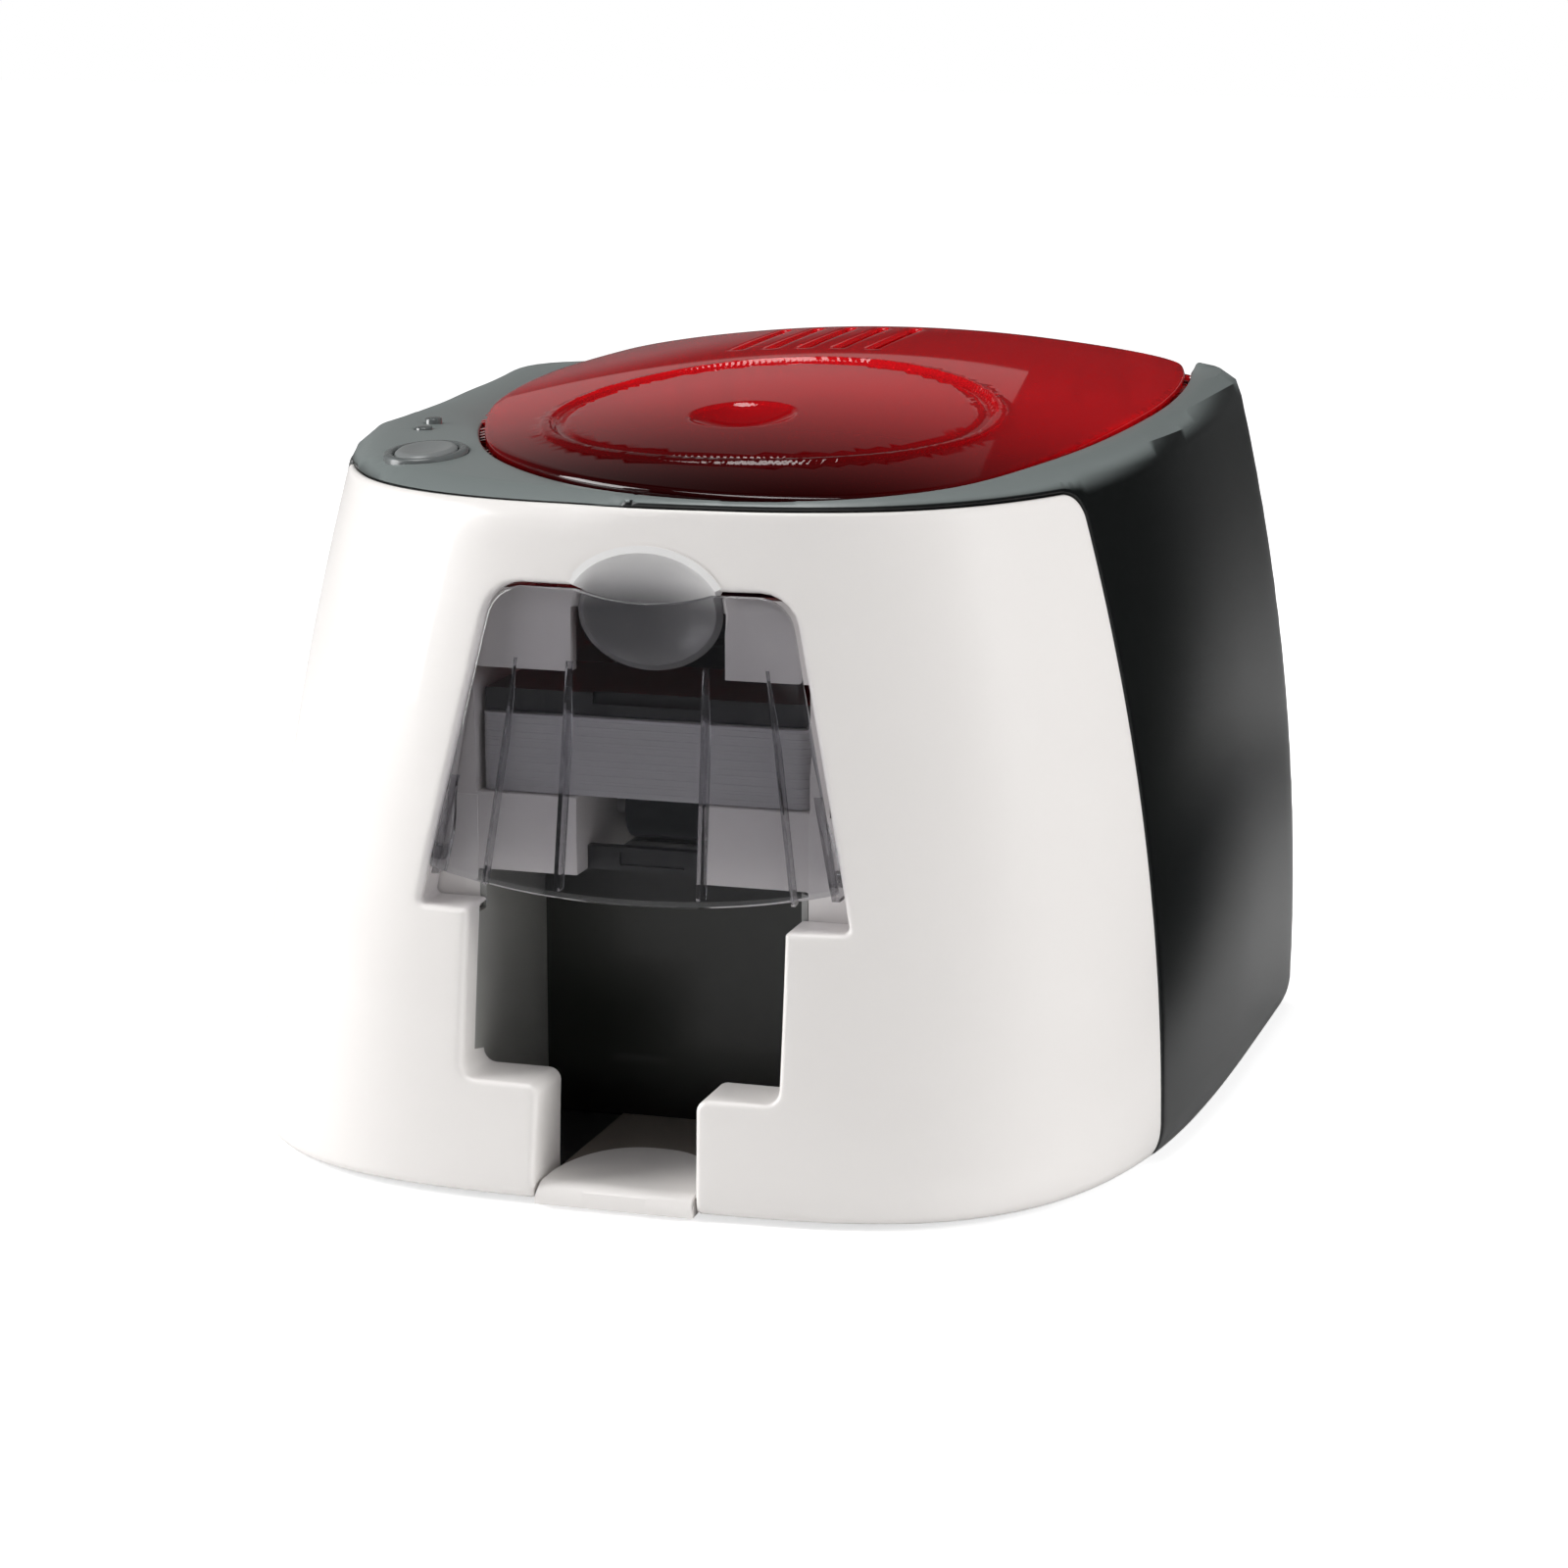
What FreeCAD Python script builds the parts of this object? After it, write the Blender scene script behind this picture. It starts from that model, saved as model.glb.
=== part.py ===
import FreeCAD, Part
import math
import os

Vec = FreeCAD.Vector

# Driving dimensions in millimetres: front is -Y, right is +X, the table is z = 0
body_half_width = 128.2
body_top_half_width = 113.6
body_belly = 5.7
body_front_reach = 212.4
body_top_front_reach = 189.9
body_back_reach = 40.0
front_power_low = 3.9
front_power_high = 2.9
back_power_low = 9.0
back_power_high = 4.4
seam_height = 174.3
rim_front_height = 175.6
rim_back_height = 190.0
object_height = 196.0
casing_foot_height = 1.2
wall = 2.6
rim_round = 5.0
seam_gap = 0.35
seam_back = 43.5
seam_corner_round = 7.0

# The blank card, to its international standard size, and the card bay's centre line
card_length = 85.6
card_width = 54.0
card_thickness = 0.76
card_count = 26
bay_x = 2.0

# Small clearances and the overrun of every cut
slip = 0.3
running = 0.06
overrun = 1.0

# The section's widest line lies at the middle of the y extent
middle_y = (body_front_reach - body_back_reach) / 2.0
front_y = middle_y - body_front_reach
back_y = middle_y + body_back_reach

os.makedirs("parts", exist_ok=True)


def save(name, shape):
    """Write one node's solid or solids to its STEP file."""
    shape.exportStep("parts/" + name + ".step")


def block(x0, x1, y0, y1, z0, z1):
    return Part.makeBox(x1 - x0, y1 - y0, z1 - z0, Vec(x0, y0, z0))


def rod_x(radius, x0, x1, y, z):
    return Part.makeCylinder(radius, x1 - x0, Vec(x0, y, z), Vec(1, 0, 0))


def rod_y(radius, y0, y1, x, z):
    return Part.makeCylinder(radius, y1 - y0, Vec(x, y0, z), Vec(0, 1, 0))


def rod_z(radius, z0, z1, x, y):
    return Part.makeCylinder(radius, z1 - z0, Vec(x, y, z0), Vec(0, 0, 1))


def fuse(shapes):
    result = shapes[0]
    if len(shapes) > 1:
        result = result.fuse(shapes[1:])
    return result.removeSplitter()


def solid_of(shape):
    """The largest solid of a boolean result."""
    return max(shape.Solids, key=lambda s: s.Volume)


def prism_y(points, y0, y1):
    """A prism along Y from a closed outline of (x, z) points."""
    corners = [Vec(x, y0, z) for x, z in points]
    face = Part.Face(Part.makePolygon(corners + corners[:1]))
    return face.extrude(Vec(0, y1 - y0, 0))


def prism_x(points, x0, x1):
    """A prism along X from a closed outline of (y, z) points."""
    corners = [Vec(x0, y, z) for y, z in points]
    face = Part.Face(Part.makePolygon(corners + corners[:1]))
    return face.extrude(Vec(x1 - x0, 0, 0))


def spline_wire(points):
    curve = Part.BSplineCurve()
    curve.interpolate(points, PeriodicFlag=True)
    return Part.Wire([curve.toShape()])


def spline_prism(points, z0, z1):
    """A prism along Z from a smooth closed outline of (x, y) points."""
    wire = spline_wire([Vec(x, y, z0) for x, y in points])
    return Part.Face(wire).extrude(Vec(0, 0, z1 - z0))


def offset_outline(points, distance):
    """Move each point of a counter-clockwise (x, y) outline outwards."""
    moved = []
    count = len(points)
    for i, (x, y) in enumerate(points):
        ax, ay = points[i - 1]
        bx, by = points[(i + 1) % count]
        length = math.hypot(bx - ax, by - ay)
        moved.append((x + (by - ay) / length * distance, y - (bx - ax) / length * distance))
    return moved


def ellipse_post(x, y, rx, ry, z0, z1):
    """An upright prism with an oval section."""
    steps = 32
    turn = 2 * math.pi / steps
    points = [(x + rx * math.cos(turn * i), y + ry * math.sin(turn * i)) for i in range(steps)]
    return spline_prism(points, z0, z1)


# Casing form: a rounded box whose sides lean in and whose plan is a soft rectangle
section_steps = 48
loft_height_shares = (0.16, 0.3, 0.5, 0.7, 0.88, 1.02, 1.16)
# Heights and insets that round the foot
foot_profile = ((casing_foot_height, 4.4), (2.2, 2.5), (3.8, 1.2), (6.4, 0.35), (11.0, 0.0))


def mix(low, high, share):
    return low + (high - low) * share


def casing_section(z, inset):
    share = z / seam_height
    half = mix(body_half_width, body_top_half_width, share) + 4 * body_belly * share * (1 - share) - inset
    front = mix(body_front_reach, body_top_front_reach, share) - inset
    back = body_back_reach - inset
    front_power = mix(front_power_low, front_power_high, share)
    back_power = mix(back_power_low, back_power_high, share)
    points = []
    for i in range(section_steps):
        angle = 2 * math.pi * i / section_steps
        c, s = math.cos(angle), math.sin(angle)
        reach, power = (front, front_power) if s < 0 else (back, back_power)
        # Points keep even steps along the outline when the longer half is stretched
        dx, dy = c * half, s * reach
        radius = ((abs(dx) / half) ** power + (abs(dy) / reach) ** power) ** (-1 / power)
        points.append(Vec(dx * radius, middle_y + dy * radius, z))
    return points


def casing_loft(inset, drop=0.0):
    """The casing's form moved in by inset, starting drop below the foot."""
    low_z, low_inset = foot_profile[0]
    levels = [(low_z - drop, low_inset)] + list(foot_profile[1:])
    levels += [(share * seam_height, 0.0) for share in loft_height_shares]
    return Part.makeLoft([spline_wire(casing_section(z, inset + more)) for z, more in levels], True, False)


rim_slope = (rim_back_height - rim_front_height) / (back_y - (middle_y - body_top_front_reach))
rim_front_y = middle_y - body_top_front_reach
far = 2 * object_height


def rim_z(y):
    return rim_front_height + rim_slope * (y - rim_front_y)


def below_rim(drop, bottom):
    """Everything between a level and the rim's sloping plane, lowered by drop."""
    y0, y1 = front_y - far, back_y + far
    return prism_x([(y0, bottom), (y1, bottom), (y1, rim_z(y1) - drop), (y0, rim_z(y0) - drop)], -far, far)


casing = solid_of(casing_loft(0).common(below_rim(0, -far)))
rim_edge = max([e for e in casing.Edges if e.isClosed()], key=lambda e: e.CenterOfMass.z)
casing = casing.makeFillet(rim_round, [rim_edge])
hollow = solid_of(casing_loft(wall, slip).common(below_rim(wall, -far)))
shell = casing.cut(hollow)

# The white front casing is everything in front of the seam, with a round at its top corner
seam_y = -seam_back


def front_zone(gap):
    y0, y1 = front_y - far, seam_y - gap
    z0, z1 = -far, seam_height - gap
    zone = prism_x([(y0, z0), (y1, z0), (y1, z1), (y0, z1)], -far, far)
    corner = [e for e in zone.Edges if abs(e.CenterOfMass.y - y1) < gap + slip and abs(e.CenterOfMass.z - z1) < gap + slip]
    return zone.makeFillet(seam_corner_round, corner)


# Feeder door recess and the stepped output opening, as (x, z) outlines
door_centre = bay_x + 1.0
door_low_z = 77.0
door_high_z = 153.5
door_low_half = 54.6
door_high_half = 38.0
door_corner = 10.0
door_sag = 6.0
door_gap = 0.8
recess_floor_z = 73.0
recess_depth = 11.0
opening_half = card_length / 2 - 1.3
opening_low_z = 31.0
slot_half = 20.7
step_depth = 17.0
step_y = front_y + 4.0 + step_depth


def door_outline(grow, low_z):
    """The door's leaning sides and round top corners, grown by a gap."""
    lean = (door_low_half - door_high_half) / (door_high_z - door_low_z)
    low_half = door_low_half + grow + lean * (door_low_z - low_z)
    high_half = door_high_half + grow
    high_z = door_high_z + grow
    return [(door_centre - low_half, low_z), (door_centre + low_half, low_z),
            (door_centre + high_half, high_z), (door_centre - high_half, high_z)]


def door_prism(grow, low_z, y0, y1):
    prism = prism_y(door_outline(grow, low_z), y0, y1)
    top = [e for e in prism.Edges
           if abs(e.CenterOfMass.z - door_high_z - grow) < slip
           and abs(e.Vertexes[0].Y - e.Vertexes[-1].Y) > recess_depth / 2]
    return prism.makeFillet(door_corner + grow, top)


recess_back_y = front_y + body_front_reach - mix(body_front_reach, body_top_front_reach, 0.6) + recess_depth
recess = door_prism(door_gap, recess_floor_z, front_y - overrun, recess_back_y + overrun)
opening = block(bay_x - opening_half, bay_x + opening_half, front_y - overrun, recess_back_y + overrun,
                opening_low_z, recess_floor_z + overrun)
slot_top_z = opening_low_z + overrun
slot = block(bay_x - slot_half, bay_x + slot_half, front_y - overrun, step_y + overrun, -overrun, slot_top_z)

# Front casing: walls of the stepped opening stand behind the front skin as one moulding
jamb = 2.4
jamb_box = block(bay_x - opening_half - jamb, bay_x + opening_half + jamb, front_y - overrun, step_y,
                 casing_foot_height, recess_floor_z)
recess_frame = door_prism(door_gap + jamb, recess_floor_z - jamb, front_y - overrun, recess_back_y)
scoop_centre_z = 147.5
scoop_x = bay_x + 2.5
scoop_half_width = 20.5
scoop_half_height = 15.5
scoop_depth = 11.5
scoop_wall = 1.8


def oval_ball(centre, rx, ry, rz):
    ball = Part.makeSphere(1.0)
    matrix = FreeCAD.Matrix()
    matrix.scale(rx, ry, rz)
    matrix.move(centre)
    return ball.transformGeometry(matrix)


def front_surface_y(z):
    return middle_y - mix(body_front_reach, body_top_front_reach, z / seam_height)


scoop_centre = Vec(scoop_x, front_surface_y(scoop_centre_z), scoop_centre_z)
scoop_hollow = oval_ball(scoop_centre, scoop_half_width, scoop_depth, scoop_half_height)
scoop_bowl = oval_ball(scoop_centre, scoop_half_width + scoop_wall, scoop_depth + scoop_wall,
                       scoop_half_height + scoop_wall)
scoop_clear = oval_ball(scoop_centre, scoop_half_width + scoop_wall + slip, scoop_depth + scoop_wall + slip,
                        scoop_half_height + scoop_wall + slip)

# The finger scoop is hollowed out of the sill across the foot of the slot
sill_top_z = 5.6
sill_back_y = step_y + 4.0
finger_ball = oval_ball(Vec(bay_x, front_y - 1.5, sill_top_z + 10.5), slot_half + 5.0, 31.0, 14.5).common(slot)

casing_inside = casing.common(front_zone(seam_gap))
front_parts = jamb_box.common(casing_inside)
frame_part = recess_frame.common(casing_inside)
bowl_part = scoop_bowl.common(casing_inside)
front_shell = shell.common(front_zone(seam_gap)).fuse([front_parts, frame_part, bowl_part])
front_shell = front_shell.cut(recess.fuse([opening, slot]))
# The bowl's lower half stays where it hangs inside the recess, behind the door
bowl_in_recess = scoop_bowl.common(recess).common(casing_inside)
door_room_y = front_surface_y(scoop_centre_z) + 6.2
bowl_in_recess = bowl_in_recess.cut(block(-far, far, front_y - far, door_room_y, -far, far))
front_shell = front_shell.fuse([bowl_in_recess])
sill = block(bay_x - slot_half - overrun, bay_x + slot_half + overrun, front_y, sill_back_y,
             casing_foot_height, sill_top_z).common(casing)
front_shell = front_shell.fuse([sill]).cut(scoop_hollow).cut(finger_ball)

# Door pivots: a pin on each lower corner of the door turns in a hole in the recess side
pivot_z = door_low_z + 8.5
pivot_y = front_surface_y(pivot_z) + 7.5
pivot_radius = 2.0
pivot_reach = 2.2
pivot_half = door_low_half - (door_low_half - door_high_half) * (pivot_z - door_low_z) / (door_high_z - door_low_z)
front_shell = front_shell.cut(rod_x(pivot_radius + running, door_centre - pivot_half - pivot_reach - slip - door_gap,
                                    door_centre + pivot_half + pivot_reach + slip + door_gap, pivot_y, pivot_z))

# Top cover outline: a rounded tongue, open to the rear, narrower at the left for the button
cover_outline_front = (
    (94.0, 108.0), (98.5, 72.0), (98.0, 33.0), (91.0, -19.0), (77.0, -64.0), (59.0, -86.0), (37.0, -96.5),
    (12.0, -98.0), (-17.0, -89.0), (-43.0, -68.0), (-61.0, -42.0), (-77.0, 0.0), (-84.0, 33.0),
    (-86.0, 72.0), (-80.0, 108.0))
cover_back_y = back_y - 3.2
cover_corner = 9.0


def cover_outline():
    """The cover's plan, counter-clockwise, with its straight back edge."""
    points = list(reversed(cover_outline_front))
    right = cover_outline_front[0]
    left = cover_outline_front[-1]
    edge = [(right[0] - cover_corner, cover_back_y)]
    span = right[0] - left[0] - 2 * cover_corner
    inner_steps = 5
    for i in range(1, inner_steps):
        edge.append((right[0] - cover_corner - span * i / inner_steps, cover_back_y))
    edge.append((left[0] + cover_corner, cover_back_y))
    return points + edge


cover_gap = 1.2
cover_wall = 2.4
cover_points = cover_outline()

# Dome of the cover: rises from the front rim to the rear edge and falls to both sides
dome_front_y = -99.0
dome_rise = 19.0
dome_power = 2.2
dome_side_fall = 8.6
dome_centre_x = 9.0
dome_side_reach = 86.0
dome_span = cover_back_y - dome_front_y


def dome_z(x, y):
    along = max(cover_back_y - y, 0) / dome_span
    side = (x - dome_centre_x) / dome_side_reach
    return object_height - dome_rise * along ** dome_power - dome_side_fall * side * side


dome_margin = 16.0
dome_steps = 15


def under_dome(drop, depth):
    """A solid that fills the space below the dome's surface."""
    rows = []
    for i in range(dome_steps):
        y = mix(dome_front_y - dome_margin, cover_back_y + dome_margin, i / (dome_steps - 1))
        row = []
        for j in range(dome_steps):
            x = dome_centre_x + mix(-1, 1, j / (dome_steps - 1)) * (dome_side_reach + 2 * dome_margin)
            row.append(Vec(x, y, dome_z(x, y) - drop))
        rows.append(row)
    surface = Part.BSplineSurface()
    surface.interpolate(rows)
    return surface.toShape().extrude(Vec(0, 0, -depth))


skirt_drop = 6.0
rear_skirt_z = 177.0
cover_depth = 40.0
cover_block = spline_prism(cover_points, seam_height - cover_depth, object_height + overrun)
cover_inner = spline_prism(offset_outline(cover_points, -cover_wall), seam_height - cover_depth,
                           object_height + overrun)
lower_limit = below_rim(skirt_drop, -far)
top_cover = cover_block.common(under_dome(0, cover_depth)).cut(cover_inner.common(under_dome(cover_wall, cover_depth)))
top_cover = top_cover.cut(lower_limit)
top_cover = top_cover.cut(block(-far, far, cover_back_y - 2 * cover_corner, back_y + far, -far, rear_skirt_z))

# Raised ring and thumb dimple on the cover
ring_x = 9.0
ring_y = -14.0
ring_radius = 61.0
ring_width = 3.0
ring_height = 0.9
ring_tube = rod_z(ring_radius, seam_height, object_height, ring_x, ring_y).cut(
    rod_z(ring_radius - ring_width, seam_height, object_height, ring_x, ring_y))
ring_band = ring_tube.common(under_dome(-ring_height, cover_wall)).common(cover_block)
dimple_x = 5.0
dimple_y = -28.0
dimple_radius = 14.5
dimple_depth = 4.0
dimple_ball_radius = (dimple_radius ** 2 + dimple_depth ** 2) / (2 * dimple_depth)
dimple_centre = Vec(dimple_x, dimple_y - 2.0, dome_z(dimple_x, dimple_y) - dimple_depth + dimple_ball_radius)
dimple_cut = Part.makeSphere(dimple_ball_radius, dimple_centre, Vec(1, 0, 0))
dimple_skin = Part.makeSphere(dimple_ball_radius + cover_wall, dimple_centre, Vec(1, 0, 0))
dimple_skin = dimple_skin.common(rod_z(dimple_radius + cover_wall, seam_height, object_height, dimple_x, dimple_y))
dimple_skin = dimple_skin.common(under_dome(cover_wall / 2, cover_depth))
top_cover = top_cover.fuse([ring_band, dimple_skin]).cut(dimple_cut)

# Five slanted vent slots through the rear of the cover
vent_count = 5
vent_pitch = 10.0
vent_width = 2.6
vent_low_z = 190.0
vent_front_y = 68.0
vent_first_x = -29.0
for i in range(vent_count):
    vent_x = vent_first_x + i * vent_pitch
    vent = block(vent_x, vent_x + vent_width, vent_front_y, back_y, seam_height, object_height)
    vent = vent.cut(block(vent_x, vent_x + vent_width, cover_back_y - cover_wall - slip, back_y, seam_height,
                          vent_low_z))
    top_cover = top_cover.cut(vent)

# Latch tongue under the cover's front edge
latch_x = 14.0
latch_half = 7.0
latch_y = -90.0
latch_thickness = 2.4
latch_low_z = 160.0
tongue = block(latch_x - latch_half, latch_x + latch_half, latch_y, latch_y + latch_thickness, latch_low_z,
               dome_z(latch_x, latch_y) - cover_wall / 2)

# Rear hinge: two knuckles on the cover turn on short pins held by ears on the casing
hinge_y = cover_back_y - 7.5
hinge_z = 181.5
hinge_pin_radius = 1.6
knuckle_radius = 3.6
knuckle_half = 5.0
ear_width = 3.0
hinge_places = (-52.0, 68.0)
knuckles = []
hinge_holes = []
pins = []
ears = []
ear_low_z = 150.0
ear_wall_z = 171.0
hinge_window_z = hinge_z + 5.0
for x in hinge_places:
    knuckle = rod_x(knuckle_radius, x - knuckle_half, x + knuckle_half, hinge_y, hinge_z)
    web = block(x - knuckle_half, x + knuckle_half, hinge_y - knuckle_radius, hinge_y + knuckle_radius, hinge_z,
                dome_z(x, hinge_y) - cover_wall / 2)
    web = web.common(under_dome(cover_wall / 2, cover_depth))
    knuckles += [knuckle, web]
    hinge_holes.append(rod_x(hinge_pin_radius + running, x - 2 * knuckle_half, x + 2 * knuckle_half, hinge_y, hinge_z))
    pins.append(rod_x(hinge_pin_radius, x - knuckle_half - slip - ear_width, x + knuckle_half + slip + ear_width,
                      hinge_y, hinge_z))
    for side in (-1, 1):
        near = x + side * (knuckle_half + slip)
        outer = near + side * ear_width
        low, high = min(near, outer), max(near, outer)
        foot = block(low, high, hinge_y - knuckle_radius, back_y, ear_low_z, ear_wall_z)
        post = block(low, high, hinge_y - knuckle_radius, hinge_y + knuckle_radius, ear_wall_z - overrun, hinge_z)
        ears.append(foot.fuse([post, rod_x(knuckle_radius, low, high, hinge_y, hinge_z)]))
    window_half = knuckle_half + slip + ear_width + 1.0
    top_cover = top_cover.cut(block(x - window_half, x + window_half, hinge_y - 2 * knuckle_radius, back_y,
                                    seam_height, hinge_window_z))
top_cover = top_cover.fuse([tongue] + knuckles)
top_cover = top_cover.cut(hinge_holes)
save("top_cover", solid_of(top_cover))
save("cover_hinge_pins", Part.makeCompound(pins))

# Dark casing: rim, sides and rear corners, with the cover's well and its ledge
well_points = offset_outline(cover_points, cover_gap)
well_wall = 2.0
well_depth = 9.0
ledge_width = 3.5
ledge_thickness = 1.8
well_cut = spline_prism(well_points, seam_height - cover_depth, object_height + overrun)
well_cut = well_cut.cut(below_rim(well_depth, -far))
well_wall_prism = spline_prism(offset_outline(cover_points, cover_gap + well_wall), seam_height - cover_depth,
                               object_height)
ledge_cut = spline_prism(offset_outline(cover_points, -ledge_width), seam_height - cover_depth,
                         object_height + overrun)
body_cuts = [front_zone(0), well_cut]
well_band = below_rim(wall / 2, -far).cut(below_rim(well_depth, -far - overrun))
well_skirt = well_wall_prism.common(well_band).common(casing_loft(wall / 2))
ledge_band = below_rim(well_depth - ledge_thickness, -far).cut(below_rim(well_depth, -far - overrun))
ledge = well_cut.cut(ledge_cut).common(ledge_band).common(casing_loft(wall / 2))
ledge = ledge.cut(block(-far, far, cover_back_y - 3 * cover_corner, back_y + far, -far, far))
# Behind the cover the rear wall stops below the hinge line
rear_notch_gap = 3.0
rear_notch_z = rear_skirt_z - rear_notch_gap
rear_notch = block(cover_points[-1][0] - cover_corner - cover_gap, cover_points[-6][0] + cover_corner + cover_gap,
                   cover_back_y - 3 * cover_corner, back_y + far, rear_notch_z, far)
body_cuts.append(rear_notch)
body_adds = [well_skirt.cut(well_cut).cut(rear_notch), ledge.cut(rear_notch)]

# Rear lower corner of each side lifts clear of the table in a round
lift_radius = 34.0
lift_corner = block(-far, far, back_y - lift_radius, back_y + far, -far, lift_radius).cut(
    Part.makeCylinder(lift_radius, 2 * far, Vec(-far, back_y - lift_radius, lift_radius + casing_foot_height),
                      Vec(1, 0, 0)))
body_cuts.append(lift_corner)

# Power button, its bezel and the two status lenses on the left of the rim
button_x = -71.0
button_y = -59.0
button_rx = 7.6
button_ry = 11.0
bezel_width = 2.6
bezel_rise = 1.0
button_rise = 1.6
button_travel = 1.2
button_gap = 0.3
bezel_top_z = rim_z(button_y) + bezel_rise
bezel_depth = 7.0
bezel = ellipse_post(button_x, button_y, button_rx + button_gap + bezel_width, button_ry + button_gap + bezel_width,
                     bezel_top_z - bezel_depth, bezel_top_z)
bezel_bore = ellipse_post(button_x, button_y, button_rx + button_gap, button_ry + button_gap,
                          bezel_top_z - 2 * bezel_depth, bezel_top_z + overrun)
body_cuts.append(ellipse_post(button_x, button_y, button_rx + button_gap + bezel_width,
                              button_ry + button_gap + bezel_width,
                              bezel_top_z - 2 * bezel_depth, object_height))
bezel_floor = ellipse_post(button_x, button_y, button_rx + button_gap + bezel_width / 2,
                           button_ry + button_gap + bezel_width / 2, bezel_top_z - bezel_depth,
                           bezel_top_z - bezel_depth + 1.2)
button_stem = 2.2
bezel_floor = bezel_floor.cut(rod_z(button_stem + running, 0, object_height, button_x, button_y))
save("button_bezel", solid_of(bezel.cut(bezel_bore).fuse([bezel_floor]).removeSplitter()))
button_low_z = bezel_top_z - bezel_depth + 1.2 + button_travel + slip
cap = ellipse_post(button_x, button_y, button_rx, button_ry, button_low_z, rim_z(button_y) + button_rise)
dish = Part.makeSphere(40.0, Vec(button_x, button_y, rim_z(button_y) + button_rise + 39.0))
button = cap.cut(dish).fuse([rod_z(button_stem, bezel_top_z - bezel_depth - 3.0, button_low_z + overrun,
                                   button_x, button_y)])
save("power_button", solid_of(button))
lens_places = ((-85.5, -25.0), (-88.0, -12.0))
lens_radius = 2.4
lens_length = 6.0
lens_rise = 0.4
lenses = []
for x, y in lens_places:
    lenses.append(rod_z(lens_radius, rim_z(y) + lens_rise - lens_length, rim_z(y) + lens_rise, x, y))
    body_cuts.append(rod_z(lens_radius, rim_z(y) - 2 * lens_length, object_height, x, y))
save("status_lenses", Part.makeCompound(lenses))

# Rear panel: a window in the rear wall, filled by a vented panel with two sockets
panel_half = 82.0
panel_low_z = 12.0
panel_high_z = 146.0
panel_front_y = back_y - 14.0
panel_gap = 0.3
window = block(-panel_half, panel_half, panel_front_y, back_y + far, panel_low_z, panel_high_z)
panel_zone = block(-panel_half + panel_gap, panel_half - panel_gap, panel_front_y, back_y + far,
                   panel_low_z + panel_gap, panel_high_z - panel_gap)
rear_panel = shell.common(panel_zone)
grille_count = 9
grille_pitch = 8.0
grille_width = 3.0
grille_low_z = 84.0
grille_high_z = 128.0
for i in range(grille_count):
    x = (i - (grille_count - 1) / 2) * grille_pitch
    rear_panel = rear_panel.cut(block(x - grille_width / 2, x + grille_width / 2, panel_front_y, back_y + far,
                                      grille_low_z, grille_high_z))
socket_z = 34.0
usb_x = 32.0
usb_half_width = 6.0
usb_half_height = 5.5
power_x = 58.0
power_radius = 5.0
rear_panel = rear_panel.cut(block(usb_x - usb_half_width - slip, usb_x + usb_half_width + slip, panel_front_y,
                                  back_y + far, socket_z - usb_half_height - slip, socket_z + usb_half_height + slip))
rear_panel = rear_panel.cut(rod_y(power_radius + slip, panel_front_y, back_y + far, power_x, socket_z))
lock_x = -66.0
lock_half_width = 3.6
lock_half_height = 1.6
rear_panel = rear_panel.cut(block(lock_x - lock_half_width, lock_x + lock_half_width, panel_front_y, back_y + far,
                                  socket_z - lock_half_height, socket_z + lock_half_height))
save("rear_panel", solid_of(rear_panel))
body_cuts.append(window)
body_adds += [ear.common(casing).cut(hinge_holes) for ear in ears]
body_adds = [piece.cut(front_zone(0)) for piece in body_adds]
body_shell = shell.cut(body_cuts).fuse(body_adds)
save("body_shell", solid_of(body_shell))

# Base pan closes the underside, inside the casing's foot
pan_low_z = 2.4
pan_thickness = 2.2
pan_top_z = pan_low_z + pan_thickness
pan_zone = block(-far, far, front_y - far, back_y - lift_radius, pan_low_z, pan_top_z)
base_pan = casing_loft(wall + slip).common(pan_zone)
base_pan = base_pan.cut(block(bay_x - opening_half - jamb - slip, bay_x + opening_half + jamb + slip,
                              front_y - overrun, step_y + slip, -far, far))
base_pan = base_pan.cut(block(bay_x - slot_half - overrun - slip, bay_x + slot_half + overrun + slip,
                              front_y - overrun, sill_back_y + slip, -far, far))
rear_floor_y = back_y - lift_radius - 6.0
ramp = prism_x([(rear_floor_y, pan_low_z), (back_y - 10.0, pan_low_z + 19.0),
                (back_y - 10.0, pan_low_z + 19.0 + pan_thickness), (rear_floor_y, pan_top_z)], -far, far)
base_pan = base_pan.fuse([ramp.common(casing_loft(wall + slip))])

# Four rubber feet in shallow seats, and the screws that join pan and casing
foot_radius = 7.0
foot_places = ((-96.0, -78.0), (98.0, -78.0), (-96.0, 72.0), (98.0, 72.0))
screw_radius = 1.5
screw_head_radius = 2.8
screw_places = ((-104.0, -50.0), (106.0, -50.0), (-104.0, 40.0), (106.0, 40.0), (-74.0, 80.0), (74.0, 80.0))
boss_radius = 4.5
boss_high_z = 22.0
screw_head_low_z = 0.9
feet = []
for x, y in foot_places:
    feet.append(rod_z(foot_radius, 0, pan_low_z, x, y))
save("rubber_feet", Part.makeCompound(feet))
screws = []
bosses = []
for x, y in screw_places:
    screws.append(rod_z(screw_head_radius, screw_head_low_z, pan_low_z, x, y).fuse(
        rod_z(screw_radius, pan_low_z, boss_high_z - 4.0, x, y)).removeSplitter())
    bosses.append(rod_z(boss_radius, pan_top_z - slip, boss_high_z, x, y))
base_pan = base_pan.fuse(bosses)
for x, y in screw_places:
    base_pan = base_pan.cut(rod_z(screw_radius, -far, boss_high_z - 4.0, x, y))
save("base_pan", solid_of(base_pan))
save("housing_screws", Part.makeCompound(screws))
save("front_shell", solid_of(front_shell.cut(well_cut)))

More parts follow.
